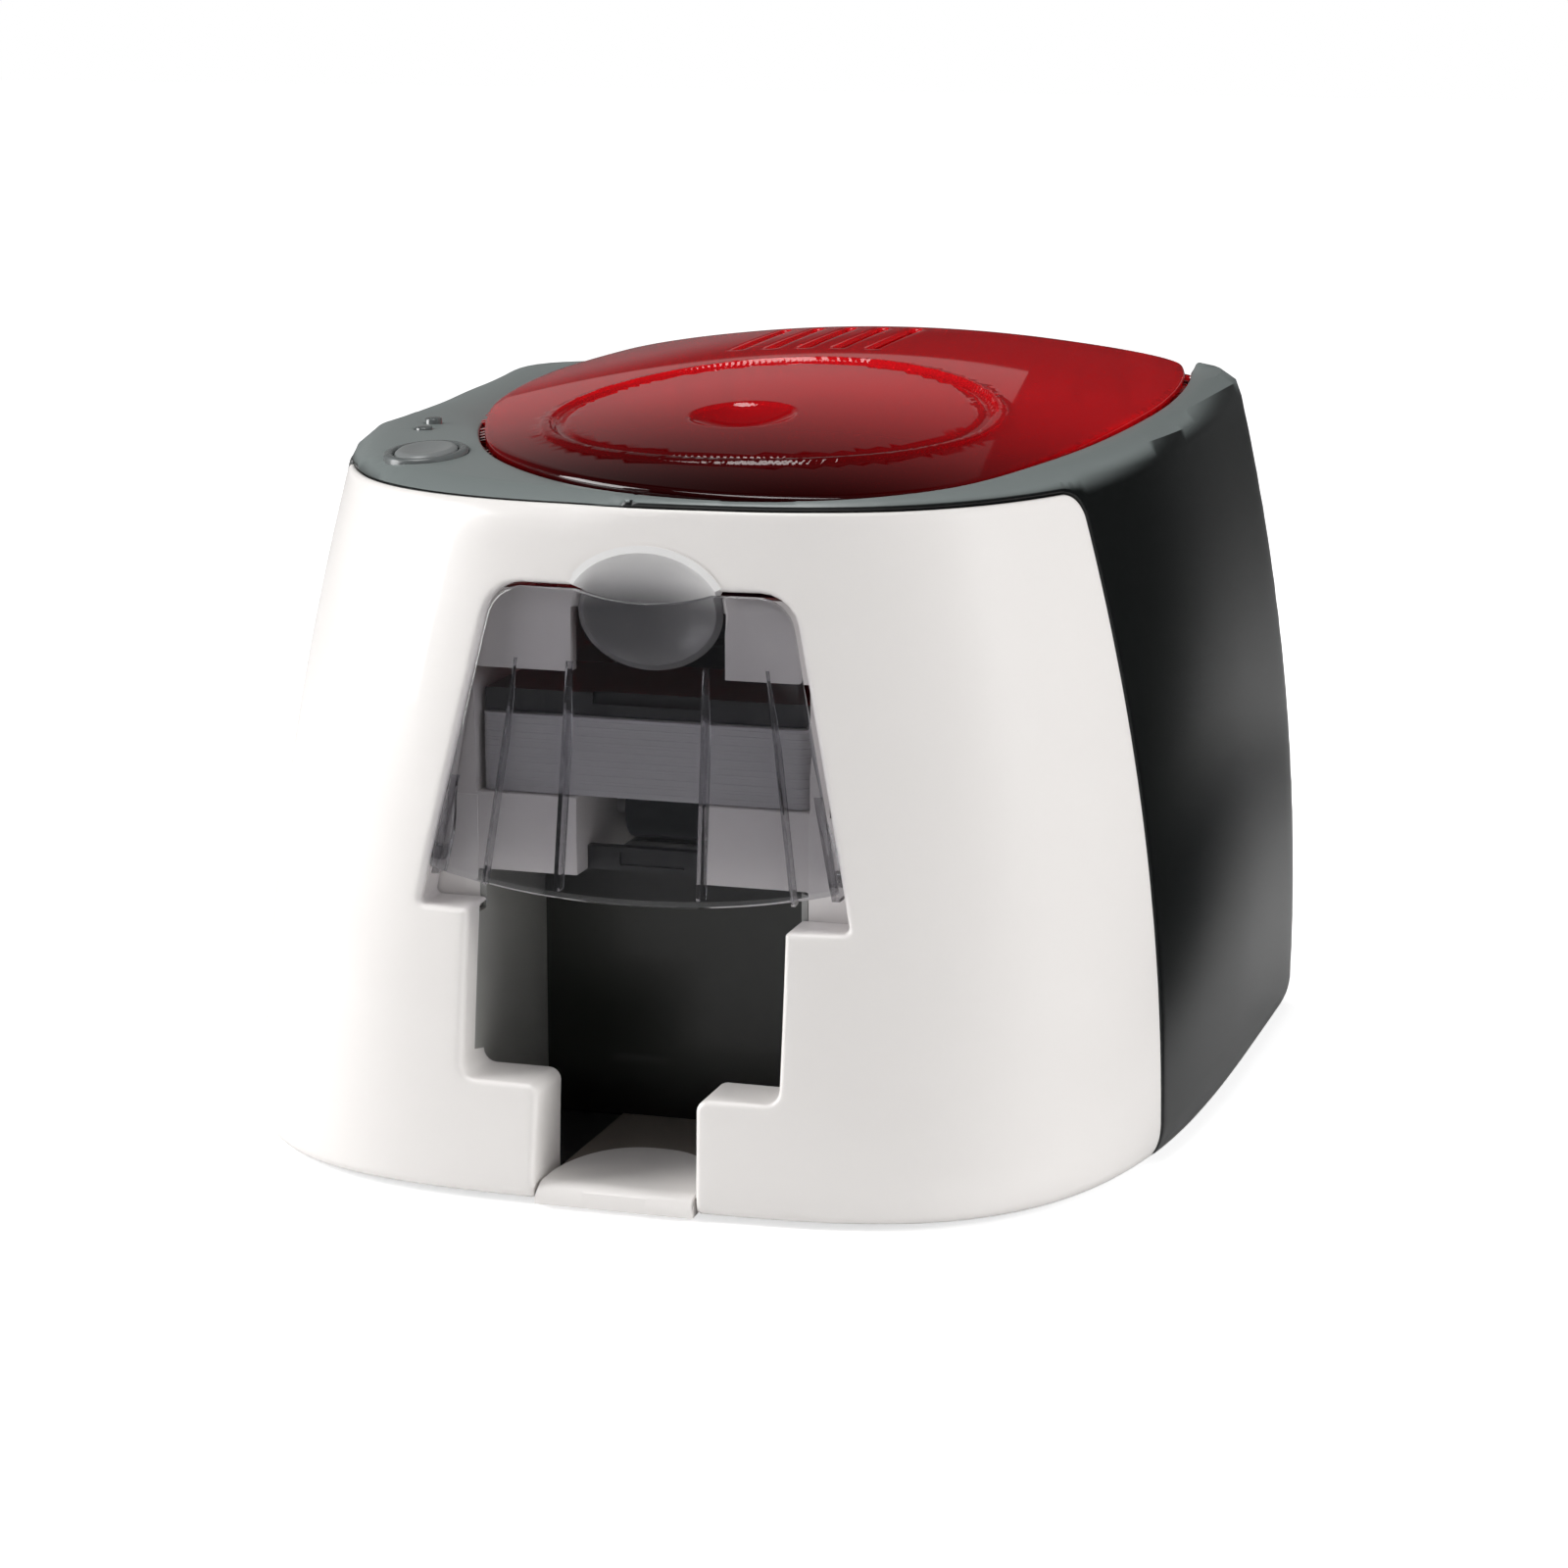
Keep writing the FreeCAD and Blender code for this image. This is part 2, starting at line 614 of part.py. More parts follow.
# Smoked feeder door: a curved plate with side cheeks, four ribs and two pivot pins
door_thickness = 2.2
door_proud = 0.6
cheek_thickness = 2.0
cheek_depth = 10.5
door_band = casing_loft(-door_proud).cut(casing_loft(door_thickness - door_proud))
rib_band = casing_loft(door_thickness - door_proud - slip).cut(casing_loft(door_thickness - door_proud + 3.6))
door_far_y = recess_back_y + recess_depth
door_plate = door_prism(0, door_low_z, front_y - 2 * overrun, door_far_y).common(door_band)
dip_radius = 60.0
dip_depth = 2.6
door_plate = door_plate.cut(rod_y(dip_radius, front_y - far, door_far_y, scoop_x, door_high_z + dip_radius - dip_depth))
sag_radius = (door_low_half ** 2 + door_sag ** 2) / (2 * door_sag)
door_foot = rod_y(sag_radius, front_y - far, door_far_y, door_centre, door_low_z + sag_radius)
door_plate = door_plate.common(door_foot)
cheek_ring = door_prism(0, door_low_z, front_y - overrun, door_far_y).cut(
    door_prism(-cheek_thickness, door_low_z - overrun, front_y - 2 * overrun, door_far_y + overrun))
cheek_limit = door_high_z - door_corner - 8.0
cheek_ring = cheek_ring.cut(block(-far, far, front_y - far, door_far_y + far, cheek_limit, far))
cheek_ring = cheek_ring.common(casing_loft(door_thickness - door_proud - slip))
cheek_back_y = pivot_y + 3.4
cheek_ring = cheek_ring.cut(block(-far, far, cheek_back_y, far, -far, far))
cheek_slant = prism_x([(pivot_y - 4.0, pivot_z + 12.0), (cheek_back_y + far, pivot_z + 12.0),
                       (cheek_back_y + far, far), (pivot_y + 12.0, far)], -far, far)
cheek_ring = cheek_ring.cut(cheek_slant).common(door_foot)
rib_thickness = 1.3
rib_shares = (-0.66, -0.26, 0.34, 0.68)
ribs = []
for share in rib_shares:
    low_x = door_centre + share * door_low_half
    high_x = door_centre + share * door_high_half * 1.08
    rib_low_z = door_low_z + 2.0
    rib_high_z = door_high_z - 18.0
    rib = prism_y([(low_x - rib_thickness / 2, rib_low_z), (low_x + rib_thickness / 2, rib_low_z),
                   (high_x + rib_thickness / 2, rib_high_z), (high_x - rib_thickness / 2, rib_high_z)],
                  front_y, door_far_y)
    ribs.append(rib.common(rib_band))
door_pins = []
for side in (-1, 1):
    inner = door_centre + side * (pivot_half - cheek_thickness)
    outer = door_centre + side * (pivot_half + pivot_reach)
    door_pins.append(rod_x(pivot_radius, min(inner, outer), max(inner, outer), pivot_y, pivot_z))
feeder_door = door_plate.fuse([cheek_ring] + ribs + door_pins)
save("feeder_door", solid_of(feeder_door.removeSplitter()))

# Card path levels
path_z = 100.0
roller_radius = 8.2
axis_z = path_z - roller_radius - slip
shaft_radius = 2.5
roller_pitch = 40.0
platen_y = 12.0
feed_y = platen_y - roller_pitch
pick_y = feed_y - roller_pitch
transfer_y = platen_y + roller_pitch

# White card bay: floor blocks, cheeks and lintel of the feeder, open to the front and rear
bay_front_y = recess_back_y + 2 * slip
bay_half = card_length / 2 + 0.8
bay_cheek = 5.0
bay_back_y = bay_front_y + card_width + 3.0
bay_low_z = 80.0
bay_high_z = 152.0
stack_high_z = path_z + card_count * card_thickness
weight_thickness = 6.0
lintel_low_z = stack_high_z + weight_thickness + 6.0
floor_gap_half = 17.0
bay_floor_back_y = pick_y + 10.0
bay_parts = []
for side in (-1, 1):
    inner = bay_x + side * bay_half
    outer = bay_x + side * (bay_half + bay_cheek)
    bay_parts.append(block(min(inner, outer), max(inner, outer), bay_front_y, bay_floor_back_y, bay_low_z, bay_high_z))
    gap_x = bay_x + side * floor_gap_half
    bay_parts.append(block(min(gap_x, outer), max(gap_x, outer), bay_front_y, bay_floor_back_y, bay_low_z,
                           path_z - slip))
lintel = block(bay_x - bay_half - bay_cheek, bay_x + bay_half + bay_cheek, bay_front_y, bay_front_y + 4.0,
               lintel_low_z, bay_high_z)
lintel = lintel.cut(block(bay_x - floor_gap_half - 1.0, bay_x + floor_gap_half + 5.0, front_y, far,
                          lintel_low_z - overrun, bay_high_z - 4.0))
bay_parts.append(lintel)
# A low bridge joins both halves of the bay below the stack, in front of the pick roller
bridge_front_y = bay_front_y + 14.0
bridge_depth = 6.0
bridge_height = 3.0
bay_parts.append(block(bay_x - floor_gap_half - overrun, bay_x + floor_gap_half + overrun, bridge_front_y,
                       bridge_front_y + bridge_depth, bay_low_z, bay_low_z + bridge_height))
card_bay = fuse(bay_parts)
card_bay = card_bay.cut(rod_x(shaft_radius + running, -far, far, pick_y, axis_z))
card_bay = card_bay.cut(scoop_clear).common(casing_loft(wall + slip))
save("card_bay", solid_of(card_bay))

# Stack of blank cards and the bar that weighs them down
stack_front_y = bay_front_y + 2.0
cards = []
card_jog = 0.35
card_air = 0.01
for i in range(card_count):
    jog = card_jog * math.sin(2.4 * i)
    z = path_z + i * card_thickness
    cards.append(block(bay_x - card_length / 2 + jog, bay_x + card_length / 2 + jog, stack_front_y - jog,
                       stack_front_y - jog + card_width, z + card_air, z + card_thickness - card_air))
save("card_stack", Part.makeCompound(cards))
weight_half = bay_half - 1.2
weight = block(bay_x - weight_half, bay_x + weight_half, stack_front_y + 2.5, stack_front_y + card_width - 12.0,
               stack_high_z + slip, stack_high_z + weight_thickness)
grip = rod_x(3.0, bay_x - 14.0, bay_x + 14.0, stack_front_y + 1.5, stack_high_z + weight_thickness)
weight = weight.cut(grip)
save("card_weight", solid_of(weight))

# Output hopper liner: dark side walls, back wall and floor behind the white steps
liner_wall = 1.6
liner_front_y = step_y + slip
liner_back_y = liner_front_y + card_width - 8.0
liner_half = opening_half
liner_high_z = bay_low_z - slip
liner_parts = [
    block(bay_x - liner_half - liner_wall, bay_x - liner_half, liner_front_y, liner_back_y, pan_top_z, liner_high_z),
    block(bay_x + liner_half, bay_x + liner_half + liner_wall, liner_front_y, liner_back_y, pan_top_z, liner_high_z),
    block(bay_x - liner_half - liner_wall, bay_x + liner_half + liner_wall, liner_back_y, liner_back_y + liner_wall,
          pan_top_z, liner_high_z),
    block(bay_x - liner_half, bay_x + liner_half, sill_back_y + slip, liner_back_y, pan_top_z,
          pan_top_z + liner_wall)]
recess_sill = block(-far, far, front_y, recess_back_y + slip, recess_floor_z - jamb - slip, far)
hopper_liner = fuse(liner_parts).cut(recess_sill)
save("hopper_liner", solid_of(hopper_liner))

# Card sensor under the front of the stack
sensor_half = 8.5
sensor_y = bay_front_y + 8.0
sensor_low_z = liner_high_z + slip
sensor = block(bay_x - floor_gap_half, bay_x + floor_gap_half, sensor_y, sensor_y + 3.0, sensor_low_z,
               sensor_low_z + 6.0)
sensor = sensor.cut(block(bay_x - sensor_half, bay_x + sensor_half, sensor_y - overrun, sensor_y + 1.0,
                          sensor_low_z + 1.4, sensor_low_z + 4.8))
save("card_sensor", solid_of(sensor))

# Steel side plates of the card path, on flanges that stand on the pan
plate_thickness = 1.5
plate_half = 50.0
plate_front_y = bay_floor_back_y + 2 * slip
plate_back_y = 92.0
plate_low_z = pan_top_z
plate_high_z = 158.0
plate_heel = 5.0
flange_width = 11.0
takeup_y = -20.0
supply_y = 66.0
spool_z = 137.0
core_radius = 5.0
carrier_pivot_y = 70.0
carrier_pivot_z = 110.0
pivot_rod_radius = 2.5
gear_module = 0.8
gear_roller_teeth = 20
gear_idler_teeth = 30
gear_pinion_teeth = 18
gear_takeup_teeth = 48
gear_roller_r = gear_module * gear_roller_teeth / 2
gear_idler_r = gear_module * gear_idler_teeth / 2
gear_pinion_r = gear_module * gear_pinion_teeth / 2
gear_takeup_r = gear_module * gear_takeup_teeth / 2
motor_y = feed_y + roller_pitch / 2
motor_z = axis_z - gear_idler_r - gear_pinion_r
ribbon_motor_y = takeup_y - gear_takeup_r - gear_pinion_r
ribbon_motor_z = spool_z
motor_shaft_radius = 1.5
motor_neck_radius = 4.0
rod_places = ((plate_front_y + 8.0, 30.0), (plate_back_y - 8.0, 30.0), (plate_back_y - 8.0, 120.0),
              (plate_front_y + 8.0, 62.0))
tie_radius = 3.0
stud_radius = 2.0
idler_places = (feed_y - roller_pitch / 2, feed_y + roller_pitch / 2, platen_y + roller_pitch / 2)


def side_plate(side):
    inner = bay_x + side * plate_half
    outer = bay_x + side * (plate_half + plate_thickness)
    low, high = min(inner, outer), max(inner, outer)
    plate = block(low, high, plate_front_y, plate_back_y, plate_low_z, plate_high_z)
    slope = prism_x([(plate_front_y - overrun, ribbon_motor_z + 12.0), (plate_front_y - overrun, far),
                     (takeup_y + 10.0, far), (takeup_y + 10.0, plate_high_z - 6.0),
                     (plate_front_y + 16.0, ribbon_motor_z + 14.0)], low - overrun, high + overrun)
    plate = plate.cut(slope)
    heel = block(low - overrun, high + overrun, rear_floor_y - slip, plate_back_y + overrun, plate_low_z - overrun,
                 plate_low_z + plate_heel)
    plate = plate.cut(heel)
    flange_outer = bay_x + side * (plate_half + flange_width)
    flange = block(min(inner, flange_outer), max(inner, flange_outer), plate_front_y, plate_back_y - 12.0,
                   plate_low_z, plate_low_z + plate_thickness)
    plate = plate.fuse(flange)
    for y in (feed_y, platen_y, transfer_y):
        plate = plate.cut(rod_x(shaft_radius + running, low - overrun, high + overrun, y, axis_z))
    for y in (takeup_y, supply_y):
        slot_cut = block(low - overrun, high + overrun, y - core_radius - running, y + core_radius + running,
                         spool_z, far)
        slot_cut = slot_cut.fuse(rod_x(core_radius + running, low - overrun, high + overrun, y, spool_z))
        plate = plate.cut(slot_cut)
    plate = plate.cut(rod_x(pivot_rod_radius, low - overrun, high + overrun, carrier_pivot_y, carrier_pivot_z))
    for y in (feed_y, cleaning_y):
        plate = plate.cut(rod_x(stud_radius + running, low - overrun, high + overrun, y, pinch_axis_z))
    for y, z in rod_places:
        plate = plate.cut(rod_x(stud_radius, low - overrun, high + overrun, y, z))
    if side > 0:
        plate = plate.cut(rod_x(motor_neck_radius + slip, low - overrun, high + overrun, motor_y, motor_z))
        plate = plate.cut(rod_x(motor_neck_radius + slip, low - overrun, high + overrun, ribbon_motor_y,
                                ribbon_motor_z))
        for y in idler_places:
            plate = plate.cut(rod_x(stud_radius, low - overrun, high + overrun, y, axis_z))
    return solid_of(plate.removeSplitter())


pinch_radius = 6.0
cleaning_y = feed_y + 15.0
pinch_axis_z = path_z + card_thickness + pinch_radius + slip
save("side_plate_left", side_plate(-1))
save("side_plate_right", side_plate(1))
left_in = bay_x - plate_half
right_in = bay_x + plate_half
right_out = right_in + plate_thickness
left_out = left_in - plate_thickness
ties = []
for y, z in rod_places:
    ties.append(rod_x(tie_radius, left_in, right_in, y, z).fuse(
        rod_x(stud_radius, left_out - 1.0, right_out + 1.0, y, z)).removeSplitter())
save("cross_rods", Part.makeCompound(ties))

# Card guides: two slim rails each side of the path, carried by the plates
guide_width = 4.0
guides = []
for side in (-1, 1):
    outer = bay_x + side * plate_half
    inner = bay_x + side * (plate_half - guide_width)
    for y0, y1 in ((feed_y + roller_radius + 1.5, platen_y - roller_radius - 1.5),
                   (platen_y + roller_radius + 1.5, transfer_y - roller_radius - 1.5)):
        guides.append(block(min(inner, outer), max(inner, outer), y0, y1, path_z - 3.0, path_z - slip))
save("card_guides", Part.makeCompound(guides))

# Gear train outside the right plate: involute teeth on a straight line of centres
gear_face = 5.0
gear_x0 = right_out + 2.0
pressure_angle = math.radians(20.0)
tooth_addendum_share = 0.92
tooth_dedendum_share = 1.25
backlash = 0.14
flank_steps = 4


def involute(angle):
    return math.tan(angle) - angle


def gear(teeth, y, z, phase, bore):
    """A spur gear on an axis along X, with a tooth pointing to +Y at phase zero."""
    pitch_r = gear_module * teeth / 2
    base_r = pitch_r * math.cos(pressure_angle)
    tip_r = pitch_r + tooth_addendum_share * gear_module
    root_r = pitch_r - tooth_dedendum_share * gear_module
    half_tooth = math.pi / (2 * teeth) - backlash / (2 * pitch_r)
    start_r = max(base_r, root_r)
    points = []
    for i in range(teeth):
        centre = phase + 2 * math.pi * i / teeth
        flank = []
        for k in range(flank_steps + 1):
            r = mix(start_r, tip_r, k / flank_steps)
            turn = half_tooth + involute(pressure_angle) - involute(math.acos(min(1, base_r / r)))
            flank.append((r, turn))
        if root_r < start_r:
            flank.insert(0, (root_r, flank[0][1]))
        for r, turn in flank:
            points.append((y + r * math.cos(centre - turn), z + r * math.sin(centre - turn)))
        for r, turn in reversed(flank):
            points.append((y + r * math.cos(centre + turn), z + r * math.sin(centre + turn)))
    disc = prism_x(points, gear_x0, gear_x0 + gear_face)
    return disc.cut(rod_x(bore, gear_x0 - overrun, gear_x0 + gear_face + overrun, y, z))


idler_phase = math.pi / gear_idler_teeth
roller_ends = 2.0


def roller(name, y, z, radius, x0, x1, with_gear):
    """A shaft between the plates with its covering, and a flat for its gear."""
    shaft_end = gear_x0 + gear_face + roller_ends if with_gear else right_out + roller_ends
    radius_shaft = shaft_radius if with_gear else stud_radius
    shaft = rod_x(radius_shaft, left_out - roller_ends, shaft_end, y, z)
    cover = rod_x(radius, x0, x1, y, z).cut(shaft)
    save(name + "_shaft", shaft)
    save(name + "_sleeve", cover)


sleeve_half = card_length / 2 - 4.0
roller("feed", feed_y, axis_z, roller_radius, bay_x - sleeve_half, bay_x + sleeve_half, True)
roller("platen", platen_y, axis_z, roller_radius, bay_x - sleeve_half, bay_x + sleeve_half, True)
roller("transfer", transfer_y, axis_z, roller_radius, bay_x - sleeve_half, bay_x + sleeve_half, True)
roller("pinch", feed_y, pinch_axis_z, pinch_radius, bay_x - sleeve_half, bay_x + sleeve_half, False)
roller("cleaning", cleaning_y, pinch_axis_z, pinch_radius, bay_x - sleeve_half, bay_x + sleeve_half, False)
pick_half = floor_gap_half - 4.0
pick_shaft = rod_x(shaft_radius, bay_x - floor_gap_half - 6.0, gear_x0 + gear_face + roller_ends, pick_y, axis_z)
save("pick_shaft", pick_shaft)
save("pick_sleeve", rod_x(roller_radius, bay_x - pick_half, bay_x + pick_half, pick_y, axis_z).cut(pick_shaft))
for name, y in (("pick_gear", pick_y), ("feed_gear", feed_y), ("platen_gear", platen_y),
                ("transfer_gear", transfer_y)):
    save(name, gear(gear_roller_teeth, y, axis_z, 0, shaft_radius))
for i, y in enumerate(idler_places):
    save("idler_gear_" + str(i + 1), gear(gear_idler_teeth, y, axis_z, idler_phase, stud_radius + running))
studs = []
for y in idler_places:
    stud = rod_x(stud_radius, right_in - 1.0, gear_x0 + gear_face + 1.0, y, axis_z)
    head = rod_x(stud_radius + 1.6, gear_x0 + gear_face + 0.4, gear_x0 + gear_face + 1.8, y, axis_z)
    spacer = rod_x(stud_radius + 1.4, right_out, gear_x0 - 0.4, y, axis_z)
    studs.append(fuse([stud, head, spacer]))
save("idler_studs", Part.makeCompound(studs))

# Main motor inside the right plate with its pinion outside
motor_radius = 11.4
motor_length = 30.0
motor = fuse([rod_x(motor_radius, right_in - motor_length, right_in, motor_y, motor_z),
              rod_x(motor_neck_radius, right_in, right_out, motor_y, motor_z),
              rod_x(2.6, right_in - motor_length - 1.6, right_in - motor_length, motor_y, motor_z)])
motor = motor.cut(rod_x(motor_shaft_radius + running, right_in - 10.0, right_out + overrun, motor_y, motor_z))
save("drive_motor", solid_of(motor))
pinion = gear(gear_pinion_teeth, motor_y, motor_z, 0, motor_shaft_radius)
pinion_shaft = rod_x(motor_shaft_radius, right_in - 9.0, gear_x0 + gear_face + 1.0, motor_y, motor_z)
save("motor_pinion", solid_of(pinion.fuse(pinion_shaft).removeSplitter()))

# Ribbon motor, smaller, in front of the take-up spool
ribbon_motor_radius = 9.6
ribbon_motor_length = 24.0
ribbon_motor = fuse([rod_x(ribbon_motor_radius, right_in - ribbon_motor_length, right_in, ribbon_motor_y,
                           ribbon_motor_z),
                     rod_x(motor_neck_radius, right_in, right_out, ribbon_motor_y, ribbon_motor_z)])
ribbon_motor = ribbon_motor.cut(rod_x(motor_shaft_radius + running, right_in - 10.0, right_out + overrun,
                                      ribbon_motor_y, ribbon_motor_z))
save("ribbon_motor", solid_of(ribbon_motor))
# The take-up gear has a tooth towards the pinion, so the pinion turns a gap to it
ribbon_pinion = gear(gear_pinion_teeth, ribbon_motor_y, ribbon_motor_z, math.pi / gear_pinion_teeth,
                     motor_shaft_radius)
ribbon_pinion_shaft = rod_x(motor_shaft_radius, right_in - 9.0, gear_x0 + gear_face + 1.0, ribbon_motor_y,
                            ribbon_motor_z)
save("ribbon_pinion", solid_of(ribbon_pinion.fuse(ribbon_pinion_shaft).removeSplitter()))

# Ribbon spools with their film, and the web that runs under the print head
film_half = 41.0
takeup_film_radius = 13.0
supply_film_radius = 18.0
core_bore = 2.2
takeup_core = rod_x(core_radius, left_out - 1.5, gear_x0 - slip, takeup_y, spool_z)
takeup_core = takeup_core.fuse(rod_x(3.0, gear_x0 - slip, gear_x0 + gear_face + 1.0, takeup_y, spool_z))
save("takeup_core", solid_of(takeup_core.removeSplitter()))
supply_core = rod_x(core_radius, left_out - 1.5, right_out + 1.5, supply_y, spool_z)
supply_core = supply_core.cut(rod_x(core_bore, left_out - 2.5, right_out + 2.5, supply_y, spool_z))
save("supply_core", supply_core)
save("takeup_film", rod_x(takeup_film_radius, bay_x - film_half, bay_x + film_half, takeup_y, spool_z).cut(
    rod_x(core_radius, -far, far, takeup_y, spool_z)))
save("supply_film", rod_x(supply_film_radius, bay_x - film_half, bay_x + film_half, supply_y, spool_z).cut(
    rod_x(core_radius, -far, far, supply_y, spool_z)))
save("takeup_gear", gear(gear_takeup_teeth, takeup_y, spool_z, 0, 3.0))
film_thickness = 0.15
web_z = path_z + card_thickness + 0.15
web_lift = 0.35
web_points = [(takeup_y + takeup_film_radius + web_lift, spool_z), (platen_y - 15.0, web_z),
              (platen_y + 18.0, web_z), (supply_y - supply_film_radius - web_lift, spool_z)]
outer_points = [(y, z + film_thickness) for y, z in (web_points[1], web_points[2])]
web_loop = [web_points[0], web_points[1], web_points[2], web_points[3],
            (web_points[3][0] - film_thickness, spool_z), outer_points[1], outer_points[0],
            (web_points[0][0] + film_thickness, spool_z)]
save("ribbon_film", prism_x(web_loop, bay_x - film_half + 0.5, bay_x + film_half - 0.5))

# Print head: a ceramic edge board under a finned heat sink, on a carrier that lifts
head_y0 = platen_y - 6.0
head_y1 = platen_y + 10.0
head_low_z = web_z + film_thickness + 0.4
board_thickness = 1.6
sink_half = 43.0
sink_high_z = head_low_z + 13.0
print_board = block(bay_x - sink_half, bay_x + sink_half, head_y0, head_y1, head_low_z, head_low_z + board_thickness)
save("print_head", print_board)
sink_base = block(bay_x - sink_half, bay_x + sink_half, head_y0, head_y1, head_low_z + board_thickness,
                  head_low_z + board_thickness + 3.0)
fins = [sink_base]
fin_count = 14
for i in range(fin_count):
    x = bay_x - sink_half + (i + 0.5) * 2 * sink_half / fin_count
    fins.append(block(x - 0.9, x + 0.9, head_y0, head_y1, head_low_z + board_thickness + 2.0, sink_high_z))
save("head_heat_sink", fuse(fins))
arm_inner_half = film_half + 3.2
arm_thickness = 2.2
carrier_parts = []
for side in (-1, 1):
    a = bay_x + side * arm_inner_half
    b = bay_x + side * (arm_inner_half + arm_thickness)
    arm = prism_x([(head_y0, head_low_z + 1.0), (head_y1 + 4.0, head_low_z + 1.0),
                   (carrier_pivot_y, carrier_pivot_z - 5.5), (carrier_pivot_y + 5.0, carrier_pivot_z),
                   (carrier_pivot_y, carrier_pivot_z + 5.5), (head_y1, sink_high_z + 2.4),
                   (head_y0, sink_high_z + 2.4)], min(a, b), max(a, b))
    carrier_parts.append(arm)
bridge = block(bay_x - arm_inner_half - arm_thickness, bay_x + arm_inner_half + arm_thickness, head_y0, head_y1,
               sink_high_z, sink_high_z + 2.4)
carrier = fuse(carrier_parts + [bridge])
carrier = carrier.cut(rod_x(pivot_rod_radius + running, -far, far, carrier_pivot_y, carrier_pivot_z))
save("head_carrier", solid_of(carrier))
save("head_pivot_rod", rod_x(pivot_rod_radius, left_out - 1.0, right_out + 1.0, carrier_pivot_y, carrier_pivot_z))

# Main board, upright behind the card path, with its chips and the two sockets
board_y = plate_back_y + 6.0
board_half = 76.0
pcb_thickness = 1.6
pcb_low_z = 24.0
pcb_high_z = 78.0
pcb = block(-board_half, board_half, board_y, board_y + pcb_thickness, pcb_low_z, pcb_high_z)
save("circuit_board", pcb)
chip_places = ((-50.0, 52.0, 9.0, 9.0, 2.0), (-14.0, 58.0, 7.0, 7.0, 2.0), (14.0, 62.0, 5.0, 9.0, 3.0),
               (-58.0, 32.0, 4.0, 4.0, 9.0), (-42.0, 32.0, 4.0, 4.0, 9.0), (60.0, 62.0, 10.0, 4.0, 6.0),
               (-8.0, 36.0, 6.0, 5.0, 3.0))
chips = []
for x, z, half_x, half_z, rise in chip_places:
    chips.append(block(x - half_x, x + half_x, board_y - rise, board_y, z - half_z, z + half_z))
save("board_chips", Part.makeCompound(chips))
socket_back_y = back_y - wall
usb = block(usb_x - usb_half_width, usb_x + usb_half_width, board_y + pcb_thickness, socket_back_y,
            socket_z - usb_half_height, socket_z + usb_half_height)
usb = usb.cut(block(usb_x - usb_half_width + 1.6, usb_x + usb_half_width - 1.6, socket_back_y - 9.0,
                    socket_back_y + overrun, socket_z - usb_half_height + 1.4, socket_z + usb_half_height - 1.4))
save("usb_socket", usb)
power = rod_y(power_radius, board_y + pcb_thickness, socket_back_y, power_x, socket_z)
power = power.cut(rod_y(power_radius - 1.8, socket_back_y - 9.0, socket_back_y + overrun, power_x, socket_z))
power = power.fuse(rod_y(0.9, board_y + pcb_thickness + 1.0, socket_back_y - 1.0, power_x, socket_z))
save("power_socket", solid_of(power.removeSplitter()))
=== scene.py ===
import bpy
import math
import numpy as np
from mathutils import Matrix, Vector
from mathutils.geometry import delaunay_2d_cdt


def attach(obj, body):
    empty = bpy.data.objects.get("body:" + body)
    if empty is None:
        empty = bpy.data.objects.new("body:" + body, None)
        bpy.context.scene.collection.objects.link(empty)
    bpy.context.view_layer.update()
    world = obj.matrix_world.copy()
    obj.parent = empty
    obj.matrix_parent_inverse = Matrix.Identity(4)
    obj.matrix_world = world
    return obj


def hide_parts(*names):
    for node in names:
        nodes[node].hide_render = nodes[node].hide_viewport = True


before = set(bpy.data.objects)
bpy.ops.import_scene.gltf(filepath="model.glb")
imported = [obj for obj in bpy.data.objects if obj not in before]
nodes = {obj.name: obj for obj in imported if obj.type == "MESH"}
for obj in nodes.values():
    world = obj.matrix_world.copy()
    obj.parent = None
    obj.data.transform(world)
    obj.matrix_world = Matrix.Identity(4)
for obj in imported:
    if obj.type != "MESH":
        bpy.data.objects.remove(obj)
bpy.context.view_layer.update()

# The studio: a long lens a little above the printer's right front corner. A pale table
# and large soft boxes light it, and black cards keep its right side dark.
CAMERA_YAW = 17.2
CAMERA_PITCH = 12.35
CAMERA_PLACE = (0.3193, -1.0070, 0.3144)
CAMERA_LENS = 91.15
SENSOR_WIDTH = 36.0


def add_object(name, data):
    thing = bpy.data.objects.new(name, data)
    bpy.context.scene.collection.objects.link(thing)
    return thing


camera_data = bpy.data.cameras.new("camera")
camera_data.lens = CAMERA_LENS
camera_data.sensor_width = SENSOR_WIDTH
camera = add_object("camera", camera_data)
camera.location = CAMERA_PLACE
camera.rotation_euler = (math.radians(90 - CAMERA_PITCH), 0, math.radians(CAMERA_YAW))
bpy.context.scene.camera = camera
bpy.context.scene.view_settings.view_transform = "Standard"

# Each soft box's place, the point it faces, its width and height in metres, and its power
LAMPS = (
    ("left_box", (-1.4, -0.52, 0.7), (0, -0.1, 0.1), (1.0, 1.0), 27),
    ("right_box", (1.52, -0.24, 0.6), (0.1, -0.1, 0.1), (0.4, 0.8), 17),
    ("top_box", (-0.1, -0.1, 1.5), (0, 0, 0.12), (0.9, 0.6), 10),
    ("front_box", (0.1, -1.7, 0.45), (0, 0, 0.06), (0.5, 0.3), 0.5))
for name, place, aim, size, power in LAMPS:
    data = bpy.data.lights.new(name, "AREA")
    data.shape = "RECTANGLE"
    data.size, data.size_y = size
    data.energy = power
    lamp = add_object(name, data)
    lamp.location = place
    lamp.rotation_euler = (Vector(aim) - Vector(place)).to_track_quat("-Z", "Y").to_euler()
    # The printer's dark right side doesn't mirror the lamp that stands beside it
    lamp.visible_glossy = name != "right_box"


